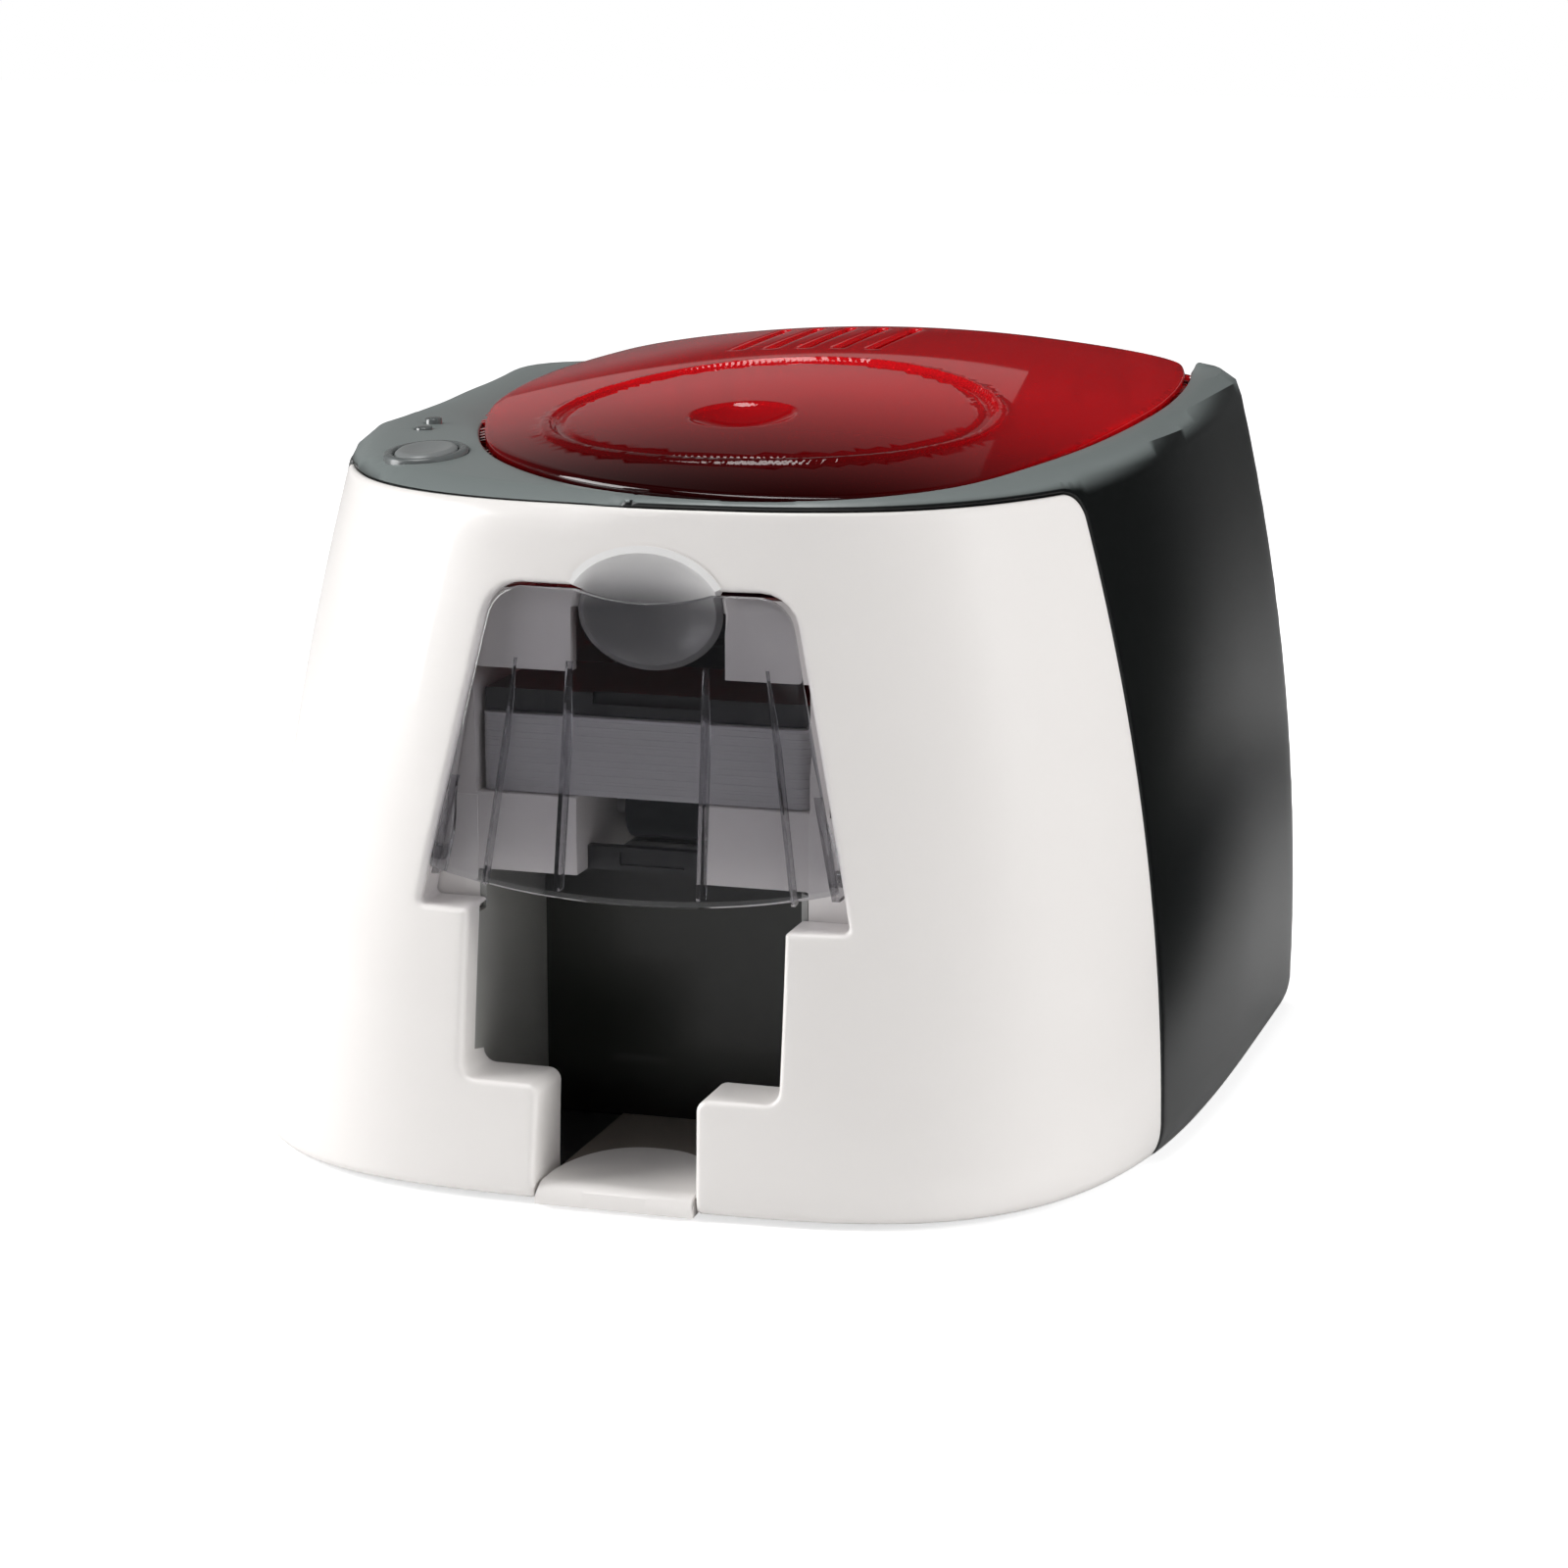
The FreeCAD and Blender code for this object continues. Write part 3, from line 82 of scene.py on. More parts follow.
def feed(tree, node, inputs):
    """Give a shader node's inputs their values, or links where a value is another's output."""
    for name, value in inputs.items():
        if isinstance(value, bpy.types.NodeSocket):
            tree.links.new(value, node.inputs[name])
        else:
            node.inputs[name].default_value = value


def add_node(tree, kind, inputs=None, **settings):
    """A new shader node with its settings and its inputs."""
    node = tree.nodes.new("ShaderNode" + kind)
    for name, value in settings.items():
        setattr(node, name, value)
    feed(tree, node, inputs or {})
    return node


def ramp(tree, value, start, end, low=0.0, high=1.0, smooth=False):
    """A value mapped from one span onto another."""
    inputs = {"Value": value, "From Min": start, "From Max": end, "To Min": low, "To Max": high}
    kind = "SMOOTHSTEP" if smooth else "LINEAR"
    return add_node(tree, "MapRange", inputs, interpolation_type=kind).outputs[0]


def maths(tree, operation, first, second):
    return add_node(tree, "Math", {0: first, 1: second}, operation=operation).outputs[0]


def axes_of(tree, source="TexCoord", output="Object"):
    """The X, Y and Z of a place or a direction."""
    vector = add_node(tree, source).outputs[output]
    return add_node(tree, "SeparateXYZ", {0: vector}).outputs


def add_look(name):
    """A new material, its node tree and its shader."""
    look = bpy.data.materials.new(name)
    look.use_nodes = True
    return look, look.node_tree, look.node_tree.nodes["Principled BSDF"]


def sheet(name, corners):
    """A flat piece of the studio with a look of its own."""
    mesh = bpy.data.meshes.new(name)
    mesh.from_pydata(corners, [], [(0, 1, 2, 3)])
    piece = add_object(name, mesh)
    look, tree, shader = add_look(name + "_look")
    mesh.materials.append(look)
    return piece, tree, shader


# Cards that only reflections see. Black ones stand and lie round the printer, so that its dark
# side mirrors nothing pale, and the cover mirrors the straight edges of the pale rear one.
CARDS = (
    ("side_flag", [(0.6, -0.5, 0.0), (0.6, 1.05, 0.0), (0.6, 1.05, 0.9), (0.6, -0.5, 0.9)]),
    ("rear_card", [(-1.1, 1.2, 0.1), (-0.17, 1.2, 0.49), (-0.12, 1.2, 1.15), (-1.1, 1.2, 1.15)]),
    ("front_flag", [(-1.3, -1.4, 0.0), (0.4, -1.4, 0.0), (0.4, -1.4, 0.7), (-1.3, -1.4, 0.7)]),
    ("floor_flag", [(0.2, -0.6, 0.001), (1.3, -0.6, 0.001), (1.3, 0.6, 0.001), (0.2, 0.6, 0.001)]))
PALE_TONE = (1, 0.98, 0.97, 1)
# The heights between which the pale card's glow falls, and the glow at each
PALE_FADE = (0.5, 0.98, 0.23, 0.0)
for name, corners in CARDS:
    piece, tree, _ = sheet(name, corners)
    piece.visible_camera = piece.visible_diffuse = False
    piece.visible_transmission = piece.visible_shadow = False
    glow = add_node(tree, "Emission", {"Color": (0, 0, 0, 1), "Strength": 0.0})
    if name == "rear_card":
        feed(tree, glow, {"Color": PALE_TONE, "Strength": ramp(tree, axes_of(tree)["Z"], *PALE_FADE)})
    feed(tree, tree.nodes["Material Output"], {"Surface": glow.outputs[0]})

# The room is pale near the horizon, most of all before the printer, and dark overhead. Behind
# the printer its pale part ends lower down. The camera itself sees plain white.
ROOM_TONE = (0.97, 0.985, 1, 1)
ROOM_RISE = (0.21, 0.31, 0.31, 0.05)
ROOM_DEPTH = (-0.6, 0.6, 1.0, 0.5)
REAR_CUT = (-0.1, 0.4, 0.0, 0.17)
world = bpy.data.worlds.new("studio")
bpy.context.scene.world = world
world.use_nodes = True
tree = world.node_tree
tree.nodes.clear()
way = axes_of(tree, output="Generated")
raised = maths(tree, "ADD", way["Z"], ramp(tree, way["Y"], *REAR_CUT))
level = maths(tree, "MULTIPLY", ramp(tree, raised, *ROOM_RISE, smooth=True),
              ramp(tree, way["Y"], *ROOM_DEPTH))
seen = add_node(tree, "Background", {"Color": (1, 1, 1, 1), "Strength": 1.0})
fill = add_node(tree, "Background", {"Color": ROOM_TONE, "Strength": level})
camera_ray = add_node(tree, "LightPath").outputs["Is Camera Ray"]
blend = add_node(tree, "MixShader", {0: camera_ray, 1: fill.outputs[0], 2: seen.outputs[0]})
add_node(tree, "OutputWorld", {0: blend.outputs[0]})

# The table under the printer is white in itself and glows a little, so that it meets the
# white behind it without an edge. Round the printer the glow is weaker and its shadow shows.
TABLE_HALF = 6.0
TABLE_TONE = (0.9, 0.9, 0.9, 1)
TABLE_ROUGHNESS = 0.7
# The distances between which the glow grows, and the glow at each
TABLE_GLOW = (0.3, 0.8, 0.68, 1.0)
SQUARE = ((-1, -1), (1, -1), (1, 1), (-1, 1))
_, tree, shader = sheet("floor", [(x * TABLE_HALF, y * TABLE_HALF, 0) for x, y in SQUARE])
feed(tree, shader, {"Base Color": TABLE_TONE, "Roughness": TABLE_ROUGHNESS})
spot = add_node(tree, "TexCoord").outputs["Object"]
span = add_node(tree, "VectorMath", {0: spot}, operation="LENGTH").outputs["Value"]
camera_ray = add_node(tree, "LightPath").outputs["Is Camera Ray"]
glow = add_node(tree, "Emission", {
    "Strength": maths(tree, "MULTIPLY", camera_ray, ramp(tree, span, *TABLE_GLOW))})
both = add_node(tree, "AddShader", {0: shader.outputs[0], 1: glow.outputs[0]})
feed(tree, tree.nodes["Material Output"], {"Surface": both.outputs[0]})

# The white front casing is one thin moulding in glossy white plastic, with its openings
# moulded in. Its form is the solid's: lofted sections that lean in and round over at the top.
MM = 0.001
HALF_LOW = 128.2
HALF_HIGH = 113.6
BELLY = 5.7
FRONT_LOW = 212.4
FRONT_HIGH = 189.9
BACK_REACH = 40.0
FRONT_POWER = (3.9, 2.9)
BACK_POWER = (9.0, 4.4)
SEAM_Z = 174.3
RIM_FRONT_Z = 175.6
RIM_BACK_Z = 190.0
FOOT_Z = 1.2
FOOT_TOP_Z = 11.0
FOOT_INSET = 4.4
ROLL_FRONT = 8.0
ROLL_BACK = 5.0
ROLL_LEAST = 2.6
ROLL_SHARE = 0.7
WALL = 2.4
SEAM_Y = -43.5
SEAM_GAP = 0.35
SEAM_CORNER = 7.0
middle_y = (FRONT_LOW - BACK_REACH) / 2
front_y = middle_y - FRONT_LOW
back_y = middle_y + BACK_REACH
rim_front_y = middle_y - FRONT_HIGH
rim_slope = (RIM_BACK_Z - RIM_FRONT_Z) / (back_y - rim_front_y)


def mix(low, high, share):
    return low + (high - low) * share


def smooth_step(value):
    value = np.clip(value, 0, 1)
    return value * value * (3 - 2 * value)


def oval_points(centre, half, angles):
    """Points of an oval at given angles."""
    return [(centre[0] + half[0] * math.cos(a), centre[1] + half[1] * math.sin(a)) for a in angles]


def rim_height(y):
    return RIM_FRONT_Z + rim_slope * (y - rim_front_y)


def roll_radius(y):
    return mix(ROLL_FRONT, ROLL_BACK, np.clip((y - rim_front_y) / -rim_front_y, 0, 1))


def section(turn, z, inset):
    """The casing's outline at height z. The turn is 0 at the front centre and grows to the right."""
    share = z / SEAM_Z
    half = mix(HALF_LOW, HALF_HIGH, share) + 4 * BELLY * share * (1 - share) - inset
    ahead = np.cos(turn) > 0
    reach = np.where(ahead, mix(FRONT_LOW, FRONT_HIGH, share), BACK_REACH) - inset
    power = np.where(ahead, mix(*FRONT_POWER, share), mix(*BACK_POWER, share))
    across = np.abs(np.sin(turn))
    along = np.abs(np.cos(turn))
    grow = (across ** power + along ** power) ** (-1 / power)
    return np.sin(turn) * half * grow, middle_y - np.cos(turn) * reach * grow


def foot_inset(z):
    low = np.clip((FOOT_TOP_Z - z) / (FOOT_TOP_Z - FOOT_Z), 0, 1)
    return FOOT_INSET * (1 - np.sqrt(1 - low ** 2))


# Cover outline, the well round it and the crowned rim that joins the casing to the well
COVER_EDGE = (
    (94.0, 108.0), (98.5, 72.0), (98.0, 33.0), (91.0, -19.0), (77.0, -64.0), (59.0, -86.0), (37.0, -96.5),
    (12.0, -98.0), (-17.0, -89.0), (-43.0, -68.0), (-61.0, -42.0), (-77.0, 0.0), (-84.0, 33.0),
    (-86.0, 72.0), (-80.0, 108.0))
COVER_CORNER = 9.0
COVER_GAP = 1.2
COVER_BACK_GAP = 3.2
BACK_SPANS = 5
cover_back_y = back_y - COVER_BACK_GAP


def smooth_loop(points, steps):
    """A closed smooth curve through the points, a Catmull-Rom spline."""
    points = np.array(points)
    ring = []
    for i in range(len(points)):
        a, b, c, d = (points[(i + k) % len(points)] for k in (-1, 0, 1, 2))
        t = np.linspace(0, 1, steps, endpoint=False)[:, None]
        ring.append(b + (c - a) * t / 2 + (2 * a - 5 * b + 4 * c - d) * t ** 2 / 2
                    + (3 * b - 3 * c + d - a) * t ** 3 / 2)
    return np.concatenate(ring)


def cover_outline(steps):
    """The cover's plan, counter-clockwise from its left rear corner."""
    right, left = COVER_EDGE[0], COVER_EDGE[-1]
    span = right[0] - left[0] - 2 * COVER_CORNER
    edge = [(right[0] - COVER_CORNER - span * i / BACK_SPANS, cover_back_y) for i in range(BACK_SPANS + 1)]
    return smooth_loop(list(reversed(COVER_EDGE)) + edge, steps)


def loop_normals(loop):
    """The outward normals of a counter-clockwise loop."""
    along = np.roll(loop, -1, 0) - np.roll(loop, 1, 0)
    outward = np.stack([along[:, 1], -along[:, 0]], 1)
    return outward / np.linalg.norm(outward, axis=1)[:, None]


def resample(loop, step, closed=True):
    """Points along a polyline at even steps, its own corners kept."""
    kept = []
    count = len(loop) if closed else len(loop) - 1
    for i in range(count):
        a = loop[i]
        b = loop[(i + 1) % len(loop)]
        pieces = max(1, int(math.ceil(np.linalg.norm(b - a) / step)))
        kept += [a + (b - a) * k / pieces for k in range(pieces)]
    if not closed:
        kept.append(loop[-1])
    return np.array(kept)


WELL_STEPS = 24
well_loop = cover_outline(WELL_STEPS)
well_loop = well_loop + loop_normals(well_loop) * COVER_GAP

# The domain of the casing's skin: u runs round it in millimetres, v up, over the roll and in
TURN_STEPS = 1440
turns = np.linspace(0, 2 * math.pi, TURN_STEPS + 1)
mid_x, mid_y = section(turns, np.full_like(turns, SEAM_Z / 2), 0)
arc = np.concatenate([[0], np.cumsum(np.hypot(np.diff(mid_x), np.diff(mid_y)))])
around = arc[-1]
top_x, top_y = section(turns, np.full_like(turns, SEAM_Z), 0)
to_well = np.min(np.hypot(top_x[:, None] - well_loop[:, 0], top_y[:, None] - well_loop[:, 1]), 1)
roll_at = np.clip(ROLL_SHARE * to_well, ROLL_LEAST, roll_radius(top_y))
roll_z = rim_height(top_y) - roll_at
rim_x, rim_y = section(turns, roll_z + roll_at, roll_at)
WELL_CENTRE = np.array((5.0, 15.0))
well_angle = np.unwrap(np.arctan2(well_loop[:, 1] - WELL_CENTRE[1], well_loop[:, 0] - WELL_CENTRE[0]))
well_angle = (well_angle + math.pi) % (2 * math.pi) - math.pi
rim_angle = np.arctan2(rim_y - WELL_CENTRE[1], rim_x - WELL_CENTRE[0])
well_x, well_y = (np.interp(rim_angle, well_angle, row, period=2 * math.pi) for row in well_loop.T)
band_width = np.hypot(rim_x - well_x, rim_y - well_y)
band_from = roll_z + roll_at * math.pi / 2
RIM_DISH = 2.4
DISH_POWER = 1.5


def dish(y):
    """How far the well's lip lies below the ridge of the rim: more to the rear."""
    return RIM_DISH * np.clip((y - SEAM_Y) / (back_y - SEAM_Y), 0, 1)


def casing(uv):
    """The place on the casing's skin for points (u, v)."""
    turn = np.interp(uv[:, 0], arc, turns)
    rows = (roll_z, roll_at, band_from, band_width, rim_x, rim_y, well_x, well_y)
    z_roll, radius, v_band, width, edge_x, edge_y, lip_x, lip_y = (
        np.interp(turn, turns, row) for row in rows)
    bend = np.clip((uv[:, 1] - z_roll) / radius, 0, math.pi / 2)
    z = np.minimum(uv[:, 1], z_roll) + radius * np.sin(bend)
    x, y = section(turn, z, foot_inset(z) + radius * (1 - np.cos(bend)))
    share = np.clip((uv[:, 1] - v_band) / width, 0, None)
    flat = share > 0
    x = np.where(flat, mix(edge_x, lip_x, share), x)
    y = np.where(flat, mix(edge_y, lip_y, share), y)
    z = np.where(flat, rim_height(y) - dish(y) * np.clip(share, 0, 1) ** DISH_POWER, z)
    return np.stack([x, y, z], 1)


TRIAL_TURNS = 700


def turn_for(values, z, inset, low, high, axis):
    """The turns between low and high at which the section meets given x or y values."""
    found = []
    trial = np.linspace(low, high, TRIAL_TURNS)
    for value, height, inward in zip(values, z, inset):
        row = section(trial, np.full_like(trial, height), inward)[axis]
        order = np.argsort(row)
        found.append(np.interp(value, row[order], trial[order]))
    return np.array(found)


def front_domain(points):
    """The (u, v) of outline points given as (x, z) on the front."""
    points = np.array(points)
    z = points[:, 1]
    turn = turn_for(points[:, 0], z, foot_inset(z), -math.pi / 2, math.pi / 2, 0)
    u = np.where(turn < 0, np.interp(turn + 2 * math.pi, turns, arc) - around, np.interp(turn, turns, arc))
    return np.stack([u, z], 1)


def side_domain(points, side):
    """The (u, v) of outline points given as (y, z) on the right or left side."""
    points = np.array(points)
    y, z = points[:, 0], points[:, 1]
    radius = roll_radius(y)
    lift = np.clip(z - rim_height(y) + radius, 0, radius)
    inset = foot_inset(z) + radius - np.sqrt(radius ** 2 - lift ** 2)
    turn = turn_for(y, z, inset, 0, math.pi, 1)
    v = np.where(lift > 0, rim_height(y) - radius + radius * np.arcsin(lift / radius), z)
    return np.stack([side * np.interp(turn, turns, arc), v], 1)


def inside(points, loop):
    """Which points lie inside a closed loop."""
    x, y = points[:, 0, None], points[:, 1, None]
    x0, y0 = loop[:, 0], loop[:, 1]
    x1, y1 = np.roll(x0, -1), np.roll(y0, -1)
    crosses = (y0 <= y) != (y1 <= y)
    level = np.where(y1 == y0, 1, y1 - y0)
    return (np.sum(crosses & (x < x0 + (y - y0) / level * (x1 - x0)), 1) % 2) == 1


def within(points, loops):
    """Which points lie inside the first loop and outside the others."""
    kept = inside(points, loops[0])
    for hole in loops[1:]:
        kept &= ~inside(points, hole)
    return kept


# Lengths that stand in for nothing, and the least distance that has a direction
TINY = 1e-12
SMALL = 1e-9
ON_EDGE = 1e-6
MERGE = 1e-4


def edge_distance(points, starts, ends):
    """The distance to the nearest edge, and the direction away from it."""
    best = np.full(len(points), 1e9)
    away = np.zeros_like(points)
    for a, b in zip(starts, ends):
        line = b - a
        share = np.clip(((points - a) @ line) / max(line @ line, TINY), 0, 1)
        offset = points - a - share[:, None] * line
        distance = np.hypot(offset[:, 0], offset[:, 1])
        normal = np.array((-line[1], line[0])) / max(np.hypot(*line), SMALL)
        direction = np.where(distance[:, None] > ON_EDGE, offset / np.maximum(distance, ON_EDGE)[:, None],
                             normal)
        nearer = distance < best
        best = np.where(nearer, distance, best)
        away = np.where(nearer[:, None], direction, away)
    return best, away


def make_piece(name, places, faces, body, material, slot, replaced=(), sharp=38):
    """A mesh piece from places in millimetres, smooth except at its real edges."""
    mesh = bpy.data.meshes.new(name)
    mesh.from_pydata([tuple(p * MM) for p in np.asarray(places)], [],
                     [tuple(int(i) for i in face) for face in faces])
    mesh.validate()
    mesh.shade_smooth()
    mesh.set_sharp_from_angle(angle=math.radians(sharp))
    mesh.materials.append(material)
    piece = add_object(name, mesh)
    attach(piece, body)
    if replaced:
        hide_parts(*replaced)
    return piece


# The rings of points along a rounded edge, as shares of its width, and how much nearer to
# the edge than their own distance the points may lie
EDGE_SHARES = (0.076, 0.293, 0.617, 1.0)
NEAR_RING = 0.97
NEAR_GRID = 0.9
JUST_ASIDE = 0.05
LEAST_AREA = 1e-7


def moulded_skin(outline, holes, place, edge, wall, step, fine, rows=None, joins=None, extra=None,
                 lap=False):
    """A thin moulding over a flat domain: rounded edges, a wall thickness and optional deep returns.

    The outline runs counter-clockwise and the holes clockwise. Rows says how the edge goes on
    behind the skin, joins marks edges that aren't real, and lap keeps the inner skin off the edge.
    """
    loops = [resample(np.array(loop), fine) for loop in [outline] + list(holes)]
    starts = np.concatenate(loops)
    ends = np.concatenate([np.roll(loop, -1, 0) for loop in loops])
    real = np.ones(len(starts), bool) if joins is None else ~joins(starts, ends)
    low, high = starts.min(0), starts.max(0)
    grid = np.stack(np.meshgrid(np.arange(low[0], high[0], step), np.arange(low[1], high[1], step)), -1)
    grid = grid.reshape(-1, 2)
    grid[:, 0] += (np.round((grid[:, 1] - low[1]) / step) % 2) * step / 2
    candidates = [(grid, edge + fine)]
    for loop in loops:
        normal = -loop_normals(loop)
        for share in EDGE_SHARES:
            candidates.append((loop + normal * edge * share, edge * share * NEAR_RING))
        candidates.append((loop + normal * (edge + fine), edge + fine * NEAR_GRID))
    if extra is not None:
        candidates.append((extra, edge))
    kept = [starts]
    for points, keep_off in candidates:
        points = points[within(points, loops)]
        distance, _ = edge_distance(points, starts, ends)
        kept.append(points[distance >= keep_off])
    fixed = []
    for loop in loops:
        first = len(fixed)
        fixed += [(first + i, first + (i + 1) % len(loop)) for i in range(len(loop))]
    result = delaunay_2d_cdt([Vector(p) for p in np.concatenate(kept)], fixed, [], 0, MERGE)
    flat = np.array([tuple(p) for p in result[0]])
    faces = np.array([face for face in result[2] if len(face) == 3])
    faces = faces[within(flat[faces].mean(1), loops)]
    a, b, c = (flat[faces[:, k]] for k in range(3))
    area = (b[:, 0] - a[:, 0]) * (c[:, 1] - a[:, 1]) - (b[:, 1] - a[:, 1]) * (c[:, 0] - a[:, 0])
    real_faces = np.abs(area) > LEAST_AREA
    faces = np.where((area < 0)[:, None], faces[:, ::-1], faces)[real_faces]
    distance, away = edge_distance(flat, starts[real], ends[real])
    base = place(flat)
    along = place(flat + (JUST_ASIDE, 0)) - place(flat - (JUST_ASIDE, 0))
    up = place(flat + (0, JUST_ASIDE)) - place(flat - (0, JUST_ASIDE))
    normal = np.cross(along, up)
    normal /= np.maximum(np.linalg.norm(normal, axis=1), TINY)[:, None]
    depth = np.clip(edge - distance, 0, edge)
    outer = base - normal * (edge - np.sqrt(edge ** 2 - depth ** 2))[:, None]
    if lap:
        shift = np.clip(wall - distance / 2, 0, wall)
        inner = place(flat + away * shift[:, None]) - normal * wall
    else:
        inner = base - normal * wall
    total = len(flat)
    pairs = dict.fromkeys((face[k], face[(k + 1) % 3]) for face in faces for k in range(3))
    border = [pair for pair in pairs if (pair[1], pair[0]) not in pairs]
    ring = sorted({i for pair in border for i in pair})
    inward = np.zeros_like(flat)
    for i, j in border:
        line = flat[j] - flat[i]
        inward[[i, j]] += np.array((-line[1], line[0])) / max(np.hypot(*line), SMALL)
    inward /= np.maximum(np.hypot(inward[:, 0], inward[:, 1]), SMALL)[:, None]
    places = [outer, inner]
    steps = [{i: i for i in ring}]
    used = 2 * total
    if rows is not None:
        for row in rows(flat[ring], outer[ring], inner[ring], inward[ring]):
            places.append(row)
            steps.append({i: used + n for n, i in enumerate(ring)})
            used += len(ring)
    steps.append({i: total + i for i in ring})
    shell = [tuple(face) for face in faces] + [tuple(total + i for i in face[::-1]) for face in faces]
    for i, j in border:
        if joins is not None and joins(flat[[i]], flat[[j]])[0]:
            continue
        for near, far in zip(steps, steps[1:]):
            shell.append((near[i], far[i], far[j], near[j]))
    return np.concatenate(places), shell


def rounded(points, steps=5):
    """A closed polygon of (x, y, corner radius) with its corners turned into arcs."""
    loop = []
    for i, (x, y, radius) in enumerate(points):
        corner = np.array((x, y))
        before = np.array(points[i - 1][:2]) - corner
        after = np.array(points[(i + 1) % len(points)][:2]) - corner
        before = before / np.linalg.norm(before)
        after = after / np.linalg.norm(after)
        if radius <= 0:
            loop.append(corner)
            continue
        half = math.acos(np.clip(before @ after, -1, 1)) / 2
        reach = radius / math.tan(half)
        centre = corner + (before + after) / np.linalg.norm(before + after) * radius / math.sin(half)
        first = corner + before * reach - centre
        last = corner + after * reach - centre
        start = math.atan2(first[1], first[0])
        sweep = (math.atan2(last[1], last[0]) - start + math.pi) % (2 * math.pi) - math.pi
        for k in range(steps + 1):
            angle = start + sweep * k / steps
            loop.append(centre + radius * np.array((math.cos(angle), math.sin(angle))))
    return np.array(loop)


def value_group(name, inputs, outputs):
    """An empty shader group with float sockets, and its input and output nodes."""
    group = bpy.data.node_groups.new(name, "ShaderNodeTree")
    for label, default in inputs:
        socket = group.interface.new_socket(label, in_out="INPUT", socket_type="NodeSocketFloat")
        socket.default_value = default
    for label, kind in outputs:
        group.interface.new_socket(label, in_out="OUTPUT", socket_type=kind)
    return group, group.nodes.new("NodeGroupInput"), group.nodes.new("NodeGroupOutput")


# Fine moulded grain: a small bump, a slow drift of the colour and dust on upward faces
GRAIN_DISTANCE = 0.0002
FINE_DETAIL = 3.0
DRIFT_SCALE = 14.0
DRIFT_DETAIL = 4.0
grain, grain_in, grain_out = value_group(
    "moulded_grain", (("Scale", 900.0), ("Depth", 0.1), ("Dust", 0.2)),
    (("Normal", "NodeSocketVector"), ("Mottle", "NodeSocketFloat"), ("Dust", "NodeSocketFloat")))
spot = add_node(grain, "TexCoord").outputs["Object"]
fine_noise = add_node(grain, "TexNoise", {
    "Vector": spot, "Scale": grain_in.outputs["Scale"], "Detail": FINE_DETAIL}).outputs[0]
slow_noise = add_node(grain, "TexNoise", {
    "Vector": spot, "Scale": DRIFT_SCALE, "Detail": DRIFT_DETAIL}).outputs[0]
bump = add_node(grain, "Bump", {
    "Strength": grain_in.outputs["Depth"], "Distance": GRAIN_DISTANCE, "Height": fine_noise})
upward = add_node(grain, "Math", {0: axes_of(grain, "NewGeometry", "Normal")["Z"], 1: slow_noise},
                  operation="MULTIPLY", use_clamp=True).outputs[0]
specks = maths(grain, "MULTIPLY", upward, grain_in.outputs["Dust"])
feed(grain, grain_out, {"Normal": bump.outputs[0], "Mottle": slow_noise, "Dust": specks})
DUST_TONE = (0.5, 0.48, 0.45, 1)
ROUGH_LEAST = 0.9
ROUGH_MOST = 1.15


def tint(colour, share=1.0):
    """A colour made paler or darker by a share, with its alpha."""
    return (*[min(1, c * share) for c in colour], 1)


def mix_colours(tree, share, first, second):
    inputs = {"Factor": share, "A": first, "B": second}
    return add_node(tree, "Mix", inputs, data_type="RGBA").outputs["Result"]


def grain_of(tree, scale, depth, dust=0.0):
    inputs = {"Scale": scale, "Depth": depth, "Dust": dust}
    return add_node(tree, "Group", inputs, node_tree=grain).outputs


def plastic(name, colour, roughness, depth=0.1, scale=900.0, dust=0.1, drift=0.06, metal=0.0, gloss=0.0):
    """A moulded plastic, or with metal set a cast metal, that carries the grain."""
    look, tree, shader = add_look(name)
    marks = grain_of(tree, scale, depth, dust)
    tone = mix_colours(tree, marks["Mottle"], tint(colour, 1 - drift), tint(colour, 1 + drift))
    feed(tree, shader, {
        "Base Color": mix_colours(tree, marks["Dust"], tone, DUST_TONE),
        "Roughness": ramp(tree, marks["Mottle"], 0, 1, roughness * ROUGH_LEAST, roughness * ROUGH_MOST),
        "Normal": marks["Normal"], "Metallic": metal, "Coat Weight": gloss})
    return look


white_plastic = plastic("white_plastic", (0.8, 0.772, 0.752), 0.32, depth=0.05, dust=0.02, drift=0.015,
                        gloss=0.25)
# What make_piece takes for a piece of the white casing: body, material, slot and CAD node
WHITE = ("casing", white_plastic, "white_shell", ("front_shell",))

# Stepped opening: card slot, output mouth, feeder recess and the thumb scoop's arc, as
# (x, z, corner radius) in millimetres
BAY_X = 2.0
DOOR_X = 3.0
SLOT_HALF = 20.7
MOUTH_HALF = 41.5
MOUTH_Z = 31.0
RECESS_Z = 73.0
DOOR_LOW_Z = 77.0
DOOR_HIGH_Z = 153.5
DOOR_LOW_HALF = 54.6
DOOR_HIGH_HALF = 38.0
DOOR_CORNER = 10.0
DOOR_GAP = 0.8
SCOOP = (4.5, 147.5)
SCOOP_HALF = (20.5, 15.5)
SCOOP_DEPTH = 11.5
RECESS_BACK_Y = -101.7
STEP_Y = front_y + 21.0
JAMB_DEPTH = 8.0
STEP_ROUND = 3.0
MOUTH_ROUND = 3.5
HEAD_ROUND = 1.0
EDGE_ROUND = 1.5
JAMB = 2.4
